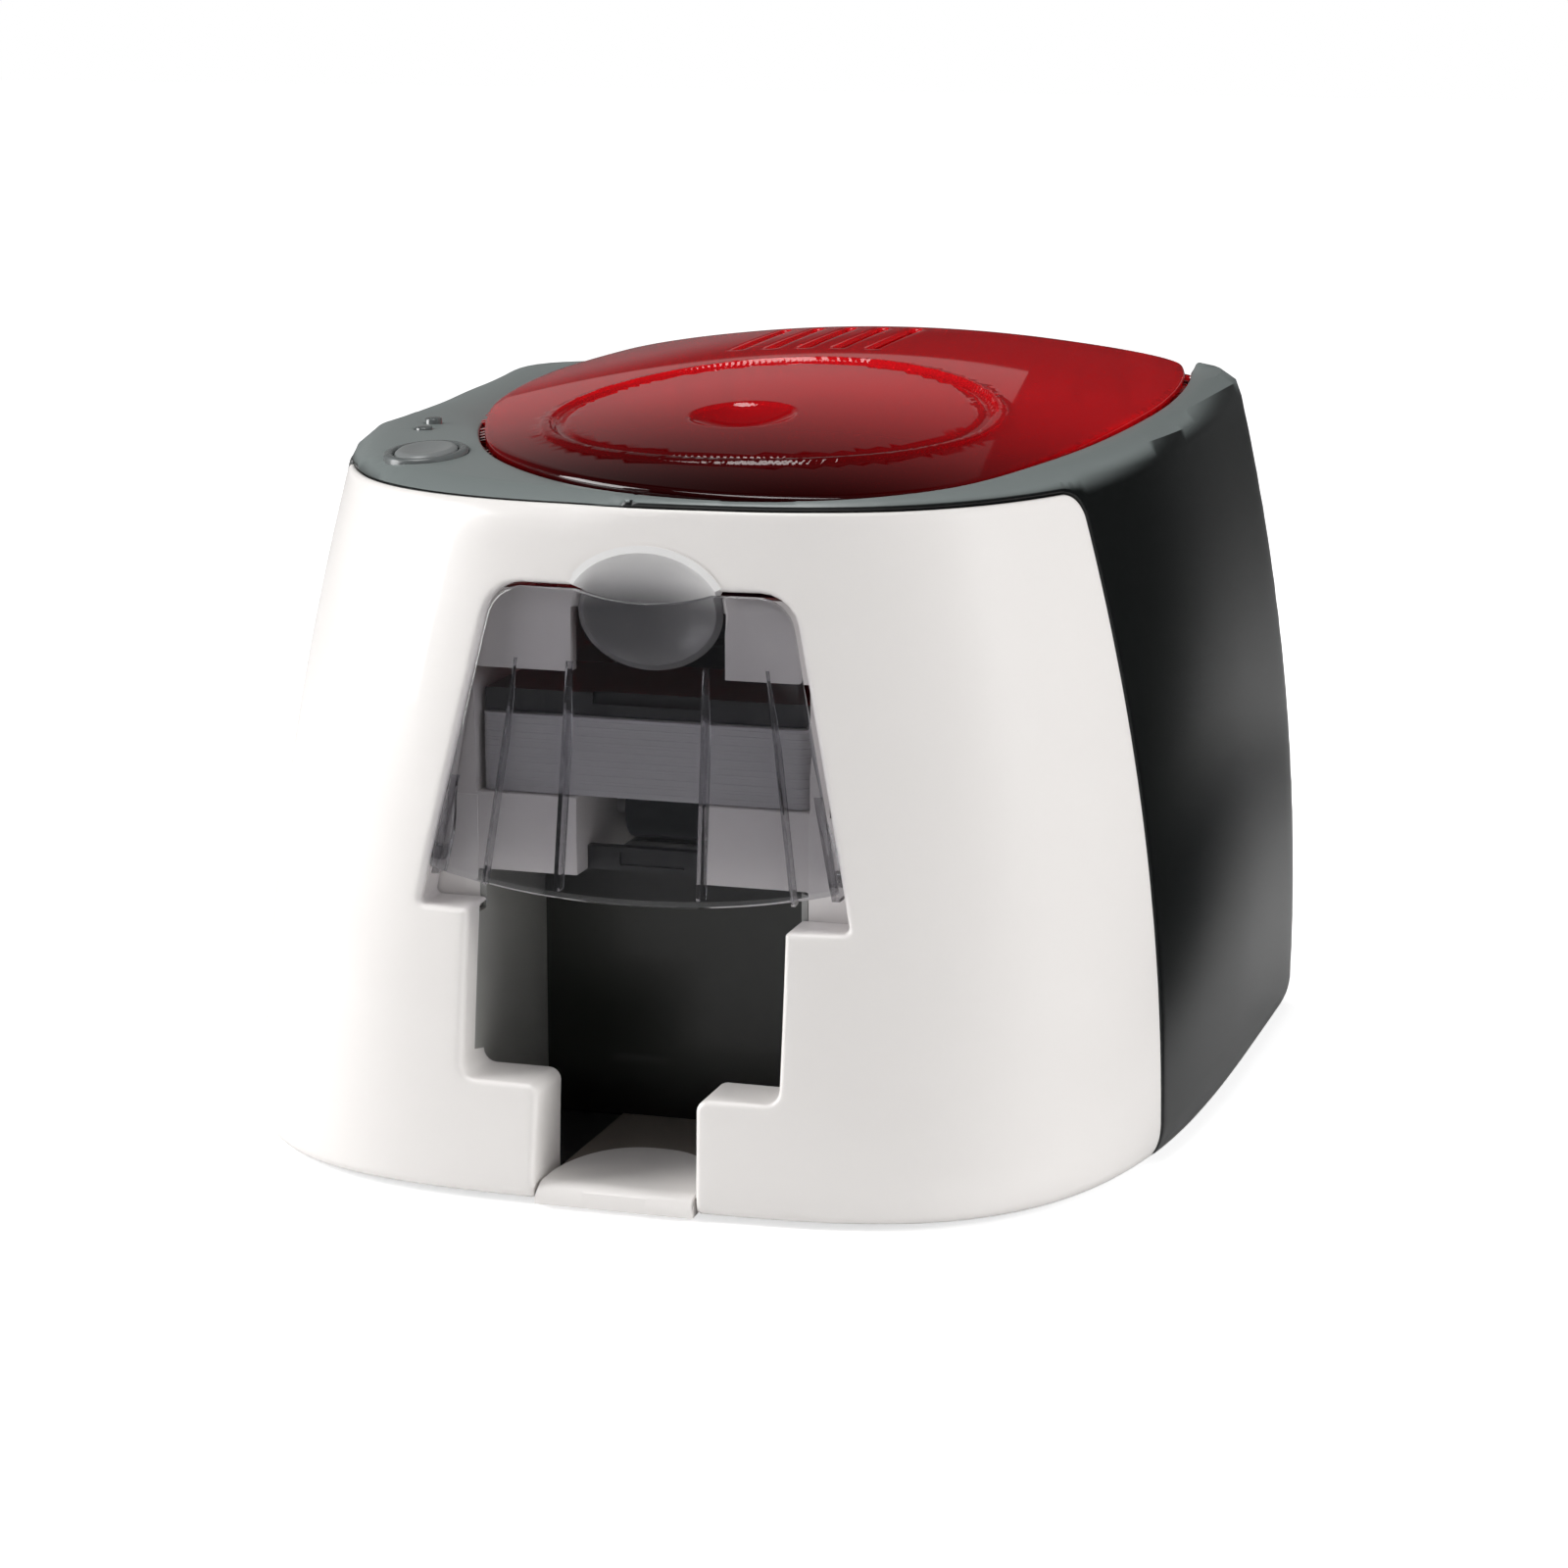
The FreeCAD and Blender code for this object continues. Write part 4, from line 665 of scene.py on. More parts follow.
# The spacing of the skin's points, and the finer one along its edges
FRONT_STEP = 4.0
FRONT_FINE = 1.3
door_lean = (DOOR_LOW_HALF - DOOR_HIGH_HALF) / (DOOR_HIGH_Z - DOOR_LOW_Z)
recess_low_half = DOOR_LOW_HALF + DOOR_GAP + door_lean * (DOOR_LOW_Z - RECESS_Z)
recess_high_half = DOOR_HIGH_HALF + DOOR_GAP
recess_high_z = DOOR_HIGH_Z + DOOR_GAP
SCOOP_ARC_STEPS = 18
SEAM_POINTS = 40
SEAM_ROUND_POINTS = 9
TOP_POINTS = 90
arc_from = math.asin((recess_high_z - SCOOP[1]) / SCOOP_HALF[1])
scoop_turns = [mix(math.pi - arc_from, arc_from, k / SCOOP_ARC_STEPS) for k in range(SCOOP_ARC_STEPS + 1)]
scoop_arc = [(*place, 0) for place in oval_points(SCOOP, SCOOP_HALF, scoop_turns)]
scoop_arc[0] = (*scoop_arc[0][:2], STEP_ROUND)
scoop_arc[-1] = (*scoop_arc[-1][:2], STEP_ROUND)
opening = (
    [(BAY_X - SLOT_HALF, FOOT_Z, 0), (BAY_X - SLOT_HALF, MOUTH_Z, STEP_ROUND),
     (BAY_X - MOUTH_HALF, MOUTH_Z, MOUTH_ROUND), (BAY_X - MOUTH_HALF, RECESS_Z, HEAD_ROUND),
     (DOOR_X - recess_low_half, RECESS_Z, EDGE_ROUND),
     (DOOR_X - recess_high_half, recess_high_z, DOOR_CORNER)]
    + scoop_arc
    + [(DOOR_X + recess_high_half, recess_high_z, DOOR_CORNER),
       (DOOR_X + recess_low_half, RECESS_Z, EDGE_ROUND),
       (BAY_X + MOUTH_HALF, RECESS_Z, HEAD_ROUND), (BAY_X + MOUTH_HALF, MOUTH_Z, MOUTH_ROUND),
       (BAY_X + SLOT_HALF, MOUTH_Z, STEP_ROUND), (BAY_X + SLOT_HALF, FOOT_Z, 0)])
opening_loop = front_domain(rounded(opening))


def seam_line(gap, side, top_z):
    """One side's seam from the foot up and over its round corner, as (y, z)."""
    y = SEAM_Y - gap
    heights = np.linspace(FOOT_TOP_Z / 4, top_z - SEAM_CORNER, SEAM_POINTS)
    corner = oval_points((y - SEAM_CORNER, top_z - SEAM_CORNER), (SEAM_CORNER, SEAM_CORNER),
                         np.linspace(0, math.pi / 2, SEAM_ROUND_POINTS)[1:])
    return side_domain([(y, FOOT_Z)] + [(y, z) for z in heights] + corner, side)


def top_line(gap, left_u, right_u, steps):
    """The seam along the front below the rim, from right to left, for u within the two ends."""
    u = np.linspace(right_u, left_u, steps)
    turn = np.interp(u % around, arc, turns)
    radius = np.interp(turn, turns, roll_at)
    base = np.interp(turn, turns, roll_z)
    lift = np.clip(SEAM_Z - gap - base, 0, radius)
    return np.stack([u, base + radius * np.arcsin(lift / radius)], 1)


right_seam = seam_line(SEAM_GAP, 1, SEAM_Z - SEAM_GAP)
left_seam = seam_line(SEAM_GAP, -1, SEAM_Z - SEAM_GAP)
top_seam = top_line(SEAM_GAP, left_seam[-1, 0], right_seam[-1, 0], TOP_POINTS)[1:-1]
front_outline = np.concatenate([right_seam, top_seam, left_seam[::-1], opening_loop])


# An opening's edge lies within these margins of the door, the scoop, the foot and the recess,
# and its jamb runs back in rows at these shares of its depth
DOOR_MARGIN = 4
SCOOP_MARGIN = 2
FOOT_MARGIN = 0.5
RECESS_MARGIN = 1
JAMB_SHARES = (0.25, 0.6, 1.0)


def opening_returns(flat, outer, inner, away):
    """Behind its edge each opening runs straight back as a jamb; the seams only turn in."""
    x, y, z = outer.T
    mouth = (np.abs(x - DOOR_X) < recess_low_half + DOOR_MARGIN) & (y < RECESS_BACK_Y)
    mouth &= (z < SCOOP[1] + SCOOP_HALF[1] + SCOOP_MARGIN) & (flat[:, 1] > FOOT_Z + FOOT_MARGIN)
    shift = np.stack([away[:, 0], np.zeros(len(away)), away[:, 1]], 1)
    in_slot = (np.abs(x - BAY_X) < SLOT_HALF + STEP_ROUND) | (z < MOUTH_Z + MOUTH_ROUND)
    mouth_y = np.where(in_slot, STEP_Y, y + JAMB_DEPTH)
    back_at = np.where(z < RECESS_Z - RECESS_MARGIN, mouth_y, RECESS_BACK_Y)
    back_at = np.where(z > recess_high_z + RECESS_MARGIN, y + 2 * EDGE_ROUND, back_at)
    end = outer.copy()
    end[:, 1] = np.where(mouth, back_at, y)
    rows = []
    for share in JAMB_SHARES:
        rows.append(np.where(mouth[:, None], mix(outer, end, share), mix(outer, inner, share / 2)))
    rows.append(np.where(mouth[:, None], end + shift * JAMB, mix(outer, inner, 0.75)))
    return rows


places, faces = moulded_skin(
    front_outline, [], lambda uv: casing(np.stack([uv[:, 0] % around, uv[:, 1]], 1)), EDGE_ROUND, WALL,
    FRONT_STEP, FRONT_FINE, opening_returns)
make_piece("front_casing", places, faces, *WHITE)

# Thumb scoop: a bowl moulded behind the casing's front, so that a finger gets behind the
# door's edge. Its lower half hangs in the recess behind the clear door, with painted shade there.
SCOOP_WALL = 1.8
SCOOP_CUT_SHARE = 0.84
SCOOP_FULL_SHARE = 0.995
SCOOP_BLEND = 0.12
BOWL_RINGS = 22
BOWL_STEPS = 96
SCOOP_FADE = (-7.0, 1.5)
SCOOP_SHADE = 0.24
scoop_front_y = middle_y - mix(FRONT_LOW, FRONT_HIGH, SCOOP[1] / SEAM_Z)


def band(low, high, closed=True):
    """Quads between two rows of vertices."""
    faces = list(zip(low, np.roll(low, -1), np.roll(high, -1), high))
    return faces if closed else faces[:-1]


def flip(faces):
    return [face[::-1] for face in faces]


def tube(count, rows):
    """The faces of a closed body from rows of count vertices, with both ends shut."""
    grid = np.arange(count * rows).reshape(rows, count)
    faces = [tuple(grid[0][::-1]), tuple(grid[-1])]
    for low, high in zip(grid, grid[1:]):
        faces += band(low, high)
    return faces


def own_colour(look):
    """A material's node tree, its shader and the socket that its colour comes from."""
    shader = look.node_tree.nodes["Principled BSDF"]
    return look.node_tree, shader, shader.inputs["Base Color"].links[0].from_socket


def paint_shade_along(look, axis, low, high, share):
    """Paint shade into a plastic along an axis: from a share of its colour at low to all of it at high."""
    tree, shader, own = own_colour(look)
    fade = ramp(tree, axes_of(tree)[axis], low * MM, high * MM, share, smooth=True)
    dim = add_node(tree, "VectorMath", {0: own, "Scale": fade}, operation="SCALE")
    feed(tree, shader, {"Base Color": dim.outputs[0]})


bowl_places = []
for layer in (0, SCOOP_WALL):
    for i in range(BOWL_RINGS + 1):
        for j in range(BOWL_STEPS):
            angle = 2 * math.pi * j / BOWL_STEPS
            blend = (math.sin(angle) - math.sin(arc_from) + SCOOP_BLEND) / SCOOP_BLEND
            reach = mix(SCOOP_CUT_SHARE, SCOOP_FULL_SHARE, float(smooth_step(blend)))
            reach *= math.sin(i / BOWL_RINGS * math.pi / 2)
            bowl_places.append((
                SCOOP[0] + (SCOOP_HALF[0] + layer) * reach * math.cos(angle),
                scoop_front_y + (SCOOP_DEPTH + layer) * math.sqrt(1 - reach ** 2),
                SCOOP[1] + (SCOOP_HALF[1] + layer) * reach * math.sin(angle)))
bowl = np.arange(len(bowl_places)).reshape(2, BOWL_RINGS + 1, BOWL_STEPS)
bowl_faces = []
for j in range(BOWL_STEPS):
    k = (j + 1) % BOWL_STEPS
    bowl_faces += band(bowl[0, :, j], bowl[0, :, k], False) + band(bowl[:, -1, j], bowl[:, -1, k], False)
    bowl_faces += flip(band(bowl[1, :, j], bowl[1, :, k], False))
scoop_plastic = plastic("scoop_plastic", (0.78, 0.77, 0.765), 0.35, depth=0.12, dust=0.04)
make_piece("thumb_scoop", bowl_places, bowl_faces, "casing", scoop_plastic, "white_shell", ("front_shell",))
# Painted shade: below the top of the recess the bowl's colour darkens, for the shadow behind the door
paint_shade_along(scoop_plastic, "Z", *(recess_high_z + offset for offset in SCOOP_FADE), SCOOP_SHADE)

# Sill across the foot of the card slot, part of the same moulding: a round tongue that a
# finger can reach past on both sides
SILL_Z = 6.3
SILL_BACK_Y = STEP_Y + 17.0
SILL_FRONT_Y = front_y + 1.0
SILL_LIP = 0.6
SILL_EDGE_Z = FOOT_Z + 1.2
SILL_NOSE = 5.0
SILL_POWER = 2.4
SILL_COLUMNS = 72
SILL_ROWS = 32
SILL_SHARP = 30
sill_places = []
for layer in range(2):
    for i in range(SILL_ROWS + 1):
        for j in range(SILL_COLUMNS + 1):
            across = mix(-1, 1, j / SILL_COLUMNS)
            reach = (1 - abs(across) ** SILL_POWER) ** (1 / SILL_POWER)
            y = mix(SILL_FRONT_Y, mix(SILL_FRONT_Y + SILL_LIP, SILL_BACK_Y, reach), i / SILL_ROWS)
            nose = min(1, (y - SILL_FRONT_Y) / SILL_NOSE)
            z = mix(SILL_EDGE_Z, SILL_Z, math.sqrt(1 - (1 - nose) ** 2))
            sill_places.append((BAY_X + across * SLOT_HALF, y, z if layer == 0 else FOOT_Z))
top, under = np.arange(len(sill_places)).reshape(2, SILL_ROWS + 1, SILL_COLUMNS + 1)
sill_faces = band(under[0], top[0], False) + band(top[-1], under[-1], False)
sill_faces += band(top[:, 0], under[:, 0], False) + band(under[:, -1], top[:, -1], False)
for i in range(SILL_ROWS):
    sill_faces += band(top[i], top[i + 1], False) + flip(band(under[i], under[i + 1], False))
make_piece("slot_sill", sill_places, sill_faces, *WHITE, SILL_SHARP)

# The dark casing carries the rim, both sides and the rear in one satin charcoal moulding.
# It meets the white front at a fine seam, and its rim slopes down into the cover's well.
dark_plastic = plastic("dark_plastic", (0.007, 0.0078, 0.0078), 0.3, depth=0.18, scale=2600.0, dust=0.004)


def paint_top_sheen(look, colour, low, high):
    """Paint a sheen: give the faces that look up a paler colour, standing in for the light they catch from
    above.
    """
    tree, shader, own = own_colour(look)
    share = ramp(tree, axes_of(tree, "NewGeometry", "Normal")["Z"], low, high, smooth=True)
    feed(tree, shader, {"Base Color": mix_colours(tree, share, own, tint(colour))})


# Painted sheen: the rim and other upward faces get a paler grey in place of the overhead light on the satin
# top
paint_top_sheen(dark_plastic, (0.18, 0.203, 0.2), 0.35, 0.85)
DARK = ("casing", dark_plastic, "dark_shell", ("body_shell",))
LIFT_RADIUS = 34.0
REAR_NOTCH_Z = 174.0
REAR_NOTCH = (-81.2, 95.2)
REAR_NOTCH_Y = 90.0
NOTCH_LAP = 1
PANEL_HALF = 82.0
PANEL_LOW_Z = 12.0
PANEL_HIGH_Z = 146.0
DARK_EDGE = 0.8
DARK_STEP = 4.5
DARK_FINE = 1.6
REAR_STEP = 4
FOOT_STEPS = 220
RIM_STEPS = 420
TOP_POINTS_DARK = 50
WELL_DEPTH = 9.0
LEDGE_WIDTH = 3.5
LEDGE_THICKNESS = 1.8
BUTTON = (-71.0, -59.0)
BEZEL_HALF = (10.5, 13.9)
LENSES = ((-85.5, -25.0), (-88.0, -12.0))
LENS_RADIUS = 2.4
LENS_HOLE_STEPS = 20
# The rear wall's points are looked for this far within the two sides
REAR_TURN = 0.1
LIFT_SHARE = 0.999
LIP_REACH = 0.6
AT_JOIN = 1e-4


def foot_line(steps):
    """The lower edge from the right seam round the back, lifted in a round at the rear."""
    first = side_domain([(SEAM_Y, FOOT_Z)], 1)[0, 0]
    u = np.linspace(first, around - first, steps)
    turn = np.interp(u, arc, turns)
    _, y = section(turn, np.full_like(turn, FOOT_Z), FOOT_INSET)
    reach = np.clip(y - back_y + LIFT_RADIUS, 0, LIFT_RADIUS * LIFT_SHARE)
    return np.stack([u, FOOT_Z + LIFT_RADIUS - np.sqrt(LIFT_RADIUS ** 2 - reach ** 2)], 1)


def rear_domain(x, z):
    """The (u, v) of a point on the rear wall."""
    turn = turn_for([x], [z], [0], math.pi / 2 + REAR_TURN, 1.5 * math.pi - REAR_TURN, 0)
    return np.array((np.interp(turn[0], turns, arc), z))


def rear_line(points):
    """A polyline on the rear wall through points given as (x, z)."""
    line = resample(np.array(points, float), REAR_STEP, closed=False)
    return np.array([rear_domain(x, z) for x, z in line])


def over_notch(places):
    """Which places lie on the rear wall's notch behind the cover."""
    x = places[:, 0]
    return (places[:, 1] > REAR_NOTCH_Y) & (x > REAR_NOTCH[0]) & (x < REAR_NOTCH[1])


rim_u = np.linspace(0, around, RIM_STEPS)
rim_turn = np.interp(rim_u, arc, turns)
rim_line = np.stack([rim_u, np.interp(rim_turn, turns, band_from + band_width)], 1)
in_notch = over_notch(casing(rim_line))
notch_from = np.argmax(in_notch)
notch_to = len(in_notch) - np.argmax(in_notch[::-1])
notch = rear_line([(REAR_NOTCH[1] - NOTCH_LAP, REAR_NOTCH_Z), (REAR_NOTCH[0] + NOTCH_LAP, REAR_NOTCH_Z)])
right_dark = seam_line(0, 1, SEAM_Z)
left_dark = seam_line(0, -1, SEAM_Z)
front_right = top_line(0, 0, right_dark[-1, 0], TOP_POINTS_DARK)[1:-1]
front_left = top_line(0, left_dark[-1, 0], -1e-6, TOP_POINTS_DARK)[1:-1]
left_dark[:, 0] += around
front_left[:, 0] += around
start = top_line(0, 0, 0, 1)
end = start + (around, 0)
upper = np.concatenate([rim_line[notch_to:][::-1], notch[::-1], rim_line[:notch_from][::-1]])
dark_outline = np.concatenate([start, front_right[::-1], right_dark[::-1], foot_line(FOOT_STEPS)[1:-1],
                               left_dark, front_left, end, upper])


def band_domain(points):
    """The (u, v) of points given as (x, y) on the rim's band."""
    found = []
    spots = np.arange(len(arc))
    for x, y in points:
        cross = (rim_x - x) * (well_y - y) - (rim_y - y) * (well_x - x)
        towards = (rim_x - well_x) * (x - WELL_CENTRE[0]) + (rim_y - well_y) * (y - WELL_CENTRE[1]) > 0
        change = np.where((cross[:-1] * cross[1:] <= 0) & towards[:-1])[0]
        share = np.abs(cross[change]) / (np.abs(cross[change]) + np.abs(cross[change + 1]) + TINY)
        place = change + share
        away = np.hypot(np.interp(place, spots, rim_x) - x, np.interp(place, spots, rim_y) - y)
        best = place[np.argmin(away)]
        u, v, width = (np.interp(best, spots, row) for row in (arc, band_from, band_width))
        found.append((u, v + min(away) * np.sign(width)))
    return np.array(found)


def ring(centre, half, steps=40):
    """A clockwise oval, for a hole."""
    angles = -np.linspace(0, 2 * math.pi, steps, endpoint=False)
    return np.stack([centre[0] + half[0] * np.cos(angles), centre[1] + half[1] * np.sin(angles)], 1)


button_hole = band_domain(ring(BUTTON, BEZEL_HALF))
lens_holes = [band_domain(ring(place, (LENS_RADIUS, LENS_RADIUS), LENS_HOLE_STEPS)) for place in LENSES]
window = rear_line([(PANEL_HALF, PANEL_LOW_Z), (PANEL_HALF, PANEL_HIGH_Z), (-PANEL_HALF, PANEL_HIGH_Z),
                    (-PANEL_HALF, PANEL_LOW_Z), (PANEL_HALF, PANEL_LOW_Z)])[:-1]


def on_join(a, b):
    """Whether an edge lies where the skin's two ends meet at the front centre."""
    both = np.stack([a[:, 0], b[:, 0]])
    return np.all(np.abs(both) < AT_JOIN, 0) | np.all(np.abs(both - around) < AT_JOIN, 0)


def well_returns(flat, outer, inner, away):
    """Inside the lip a wall runs down to a ledge that the closed cover stands over."""
    turn = np.interp(flat[:, 0], arc, turns)
    at_lip = np.abs(flat[:, 1] - np.interp(turn, turns, band_from + band_width)) < LIP_REACH
    at_lip &= ~over_notch(outer)
    towards = np.concatenate([WELL_CENTRE - outer[:, :2], np.zeros((len(outer), 1))], 1)
    towards /= np.linalg.norm(towards, axis=1)[:, None]
    foot = outer.copy()
    foot[:, 2] = rim_height(outer[:, 1]) - WELL_DEPTH + LEDGE_THICKNESS
    ledge = foot + towards * (LEDGE_WIDTH + COVER_GAP)
    under = ledge - (0, 0, LEDGE_THICKNESS)
    back = foot - towards * WALL - (0, 0, LEDGE_THICKNESS)
    ladder = (mix(outer, foot, 0.5), foot, ledge, under, back)
    return [np.where(at_lip[:, None], row, mix(outer, inner, (n + 1) / 6)) for n, row in enumerate(ladder)]


places, faces = moulded_skin(dark_outline, [button_hole, window] + lens_holes, casing, DARK_EDGE, WALL,
                             DARK_STEP, DARK_FINE, well_returns, on_join)
# The left wing of the rim sinks a little toward the rear: from where, and over what reach
WING_DROP = 6.0
WING_FROM = (-15.0, -40.0, 110.0)
WING_REACH = (-30.0, 95.0, 50.0)
wing = smooth_step((places - WING_FROM) / WING_REACH)
places[:, 2] -= WING_DROP * wing[:, 0] * wing[:, 1] * wing[:, 2]
make_piece("dark_casing", places, faces, *DARK)

# Two pairs of ears inside the rear wall hold the cover's hinge pins
SIDES = (("left", -1), ("right", 1))
HINGE_INSET = 7.5
HINGE_Z = 181.5
HINGE = (cover_back_y - HINGE_INSET, HINGE_Z)
HINGE_PLACES = (-52.0, 68.0)
KNUCKLE_HALF = 5.0
KNUCKLE_RADIUS = 3.6
EAR_WIDTH = 3.0
EAR_LOW_Z = 150.0
EAR_GAP = 0.3
EAR_BEVEL = 0.5
# Each plate stops short behind, where the open cover's skirt comes down
EAR_BACK_TURN = -1.29
EAR_STEPS = 22
ear_profile = [(HINGE[0] - KNUCKLE_RADIUS, EAR_LOW_Z),
               (HINGE[0] + KNUCKLE_RADIUS * math.cos(EAR_BACK_TURN), EAR_LOW_Z)]
ear_profile = np.array(ear_profile + oval_points(
    HINGE, (KNUCKLE_RADIUS, KNUCKLE_RADIUS), np.linspace(EAR_BACK_TURN, math.pi, EAR_STEPS)))
ear_middle = ear_profile.mean(0)
for number, x in enumerate(HINGE_PLACES):
    for label, side in SIDES:
        near = x + side * (KNUCKLE_HALF + EAR_GAP)
        x0, x1 = sorted((near, near + side * EAR_WIDTH))
        ear = []
        for x_at, shrink in ((x0, EAR_BEVEL), (x0 + EAR_BEVEL, 0), (x1 - EAR_BEVEL, 0), (x1, EAR_BEVEL)):
            offset = ear_profile - ear_middle
            shape = ear_middle + offset * (1 - shrink / np.linalg.norm(offset, axis=1))[:, None]
            ear += [(x_at, y, z) for y, z in shape]
        make_piece("hinge_ear_%d_%s" % (number, label), ear, tube(len(ear_profile), 4), *DARK)

# The top cover is one clear red moulding in the plan of a rounded tongue: a low dome with a
# raised ring, a thumb dimple and five vent slots, and a skirt that stands in the dark well.
OBJECT_HEIGHT = 196.0
TOP_GAP = 0.05
DOME_RISE = 19.0
DOME_POWER = 2.2
DOME_FRONT_Y = -99.0
DOME_FALL = 8.6
DOME_X = 9.0
DOME_REACH = 86.0
COVER_WALL = 2.4
COVER_EDGE_ROUND = 1.1
COVER_STEP = 3.6
COVER_FINE = 1.5
COVER_STEPS = 9
# The raised ring's centre, and the radii between which a groove and a ridge lie round it
RING = (9.0, -14.0)
RING_RADII = (54.5, 57.0, 58.2, 61.0)
RING_GROOVE = 0.7
RING_RIDGE = 0.9
RING_SOFTNESS = 0.8
DIMPLE = (5.0, -28.0)
DIMPLE_RADIUS = 14.5
DIMPLE_DEPTH = 4.0
DIMPLE_LIP = 1.4
VENT_COUNT = 5
VENT_PITCH = 10.0
VENT_WIDTH = 2.6
VENT_FIRST_X = -29.0
VENT_Y = (68.0, 117.0)
VENT_STEPS = 9
SKIRT_DROP = 6.0
SKIRT_REACH = 0.5
REAR_SKIRT_Z = 180.0
dimple_ball = (DIMPLE_RADIUS ** 2 + DIMPLE_DEPTH ** 2) / (2 * DIMPLE_DEPTH)


def dome(xy):
    """The cover's outer surface over its plan."""
    x, y = xy[:, 0], xy[:, 1]
    along = np.maximum(cover_back_y - y, 0) / (cover_back_y - DOME_FRONT_Y)
    z = OBJECT_HEIGHT - TOP_GAP - DOME_RISE * along ** DOME_POWER
    z = z - DOME_FALL * ((x - DOME_X) / DOME_REACH) ** 2
    reach = np.hypot(x - RING[0], y - RING[1])
    past = [smooth_step((reach - radius) / RING_SOFTNESS) for radius in RING_RADII]
    groove = past[0] - past[1]
    ridge = past[2] - past[3]
    z += RING_RIDGE * ridge - RING_GROOVE * groove
    near = np.hypot(x - DIMPLE[0], y - DIMPLE[1])
    bowl = np.sqrt(np.maximum(dimple_ball ** 2 - near ** 2, 0)) - (dimple_ball - DIMPLE_DEPTH)
    z -= np.maximum(bowl, 0) * smooth_step((DIMPLE_RADIUS - near) / DIMPLE_LIP)
    return np.stack([x, y, z], 1)


def circle_points(centre, radii, spacing):
    """Points on circles round a centre, at about even spacing."""
    circles = []
    for radius in radii:
        count = max(8, int(2 * math.pi * radius / spacing))
        turn = np.linspace(0, 2 * math.pi, count, endpoint=False)
        circles.append(np.stack([centre[0] + radius * np.cos(turn), centre[1] + radius * np.sin(turn)], 1))
    return np.concatenate(circles)


def vent_slot(x0):
    """A clockwise slot with round ends."""
    half = VENT_WIDTH / 2
    turn = np.linspace(0, math.pi, VENT_STEPS)
    far = np.stack([x0 + half + half * np.cos(turn), VENT_Y[1] - half + half * np.sin(turn)], 1)
    near = np.stack([x0 + half - half * np.cos(turn), VENT_Y[0] + half - half * np.sin(turn)], 1)
    return np.concatenate([far, near])[::-1]


def cover_skirt(flat, outer, inner, away):
    """The skirt runs straight down from the rounded edge, and a vent's side to the inner skin."""
    at_edge = edge_distance(flat, cover_loop, np.roll(cover_loop, -1, 0))[0] < SKIRT_REACH
    low = outer.copy()
    at_back = outer[:, 1] > cover_back_y - 2 * COVER_CORNER
    low[:, 2] = np.where(at_back, REAR_SKIRT_Z, rim_height(outer[:, 1]) - SKIRT_DROP)
    shift = np.concatenate([away * COVER_WALL, np.zeros((len(away), 1))], 1)
    rows = ((mix(outer, low, 0.5), 0.3), (low, 0.6), (low + shift, 0.8))
    return [np.where(at_edge[:, None], row, mix(outer, inner, share)) for row, share in rows]


cover_loop = cover_outline(COVER_STEPS)
vents = [vent_slot(VENT_FIRST_X + i * VENT_PITCH) for i in range(VENT_COUNT)]
# More of the skin's points lie on circles round the ring's edges and over the dimple
RING_SPREAD = np.linspace(-0.2, 1.0, 5)
RING_SPACING = 1.7
DIMPLE_BOWL = np.linspace(1.5, 12, 8)
DIMPLE_RIM = np.linspace(12.6, 15.2, 9)
DIMPLE_SPACING = 1.5
ring_radii = np.concatenate([radius + RING_SPREAD for radius in RING_RADII])
dimple_radii = np.concatenate([DIMPLE_BOWL, DIMPLE_RIM])
circles = np.concatenate([circle_points(RING, ring_radii, RING_SPACING),
                          circle_points(DIMPLE, dimple_radii, DIMPLE_SPACING)])
places, faces = moulded_skin(cover_loop, vents, dome, COVER_EDGE_ROUND, COVER_WALL, COVER_STEP, COVER_FINE,
                             cover_skirt, extra=circles, lap=True)
CLEAR_GRAIN = (400.0, 0.01)
CLEAR_DRIFT = 0.96
REFRACTION = 1.49


def clear_plastic(name, colour, roughness, haze=0.04, body=1.0, light=1.0):
    """Clear tinted plastic that lets the lamps' light through to what is behind it."""
    look, tree, shader = add_look(name)
    mottle = grain_of(tree, *CLEAR_GRAIN)["Mottle"]
    feed(tree, shader, {
        "Base Color": mix_colours(tree, mottle, tint(colour), tint(colour, CLEAR_DRIFT)),
        "Roughness": ramp(tree, mottle, 0, 1, roughness, roughness + haze),
        "Metallic": 0.0, "Transmission Weight": body, "IOR": REFRACTION})
    clear = add_node(tree, "BsdfTransparent", {"Color": tint(colour, light)})
    shadow_ray = add_node(tree, "LightPath").outputs["Is Shadow Ray"]
    mixer = add_node(tree, "MixShader", {0: shadow_ray, 1: shader.outputs[0], 2: clear.outputs[0]})
    feed(tree, tree.nodes["Material Output"], {"Surface": mixer.outputs[0]})
    return look


# Painted shade: the red is darkened toward the front, where the cover lies over the dark inside
COVER_SHADE_BACK_Y = 25.0
COVER_SHADE_SHARE = 0.04
red_clear = clear_plastic("red_clear", (0.85, 0.012, 0.02), 0.015, body=0.6, light=0.3)
paint_shade_along(red_clear, "Y", DOME_FRONT_Y, COVER_SHADE_BACK_Y, COVER_SHADE_SHARE)
RED = ("cover", red_clear, "red_cover", ("top_cover",))
make_piece("top_cover_shell", places, faces, *RED)

# Knuckles, each with a web up to the cover, ride on the hinge pins, and three ribs stiffen
# the cover below its dimple. A latch tongue hangs from its front edge.
KNUCKLE_STEPS = 17


def under_dome(x, y):
    """The height of the cover's inner skin."""
    return float(dome(np.array([(x, y)]))[0, 2]) - COVER_WALL


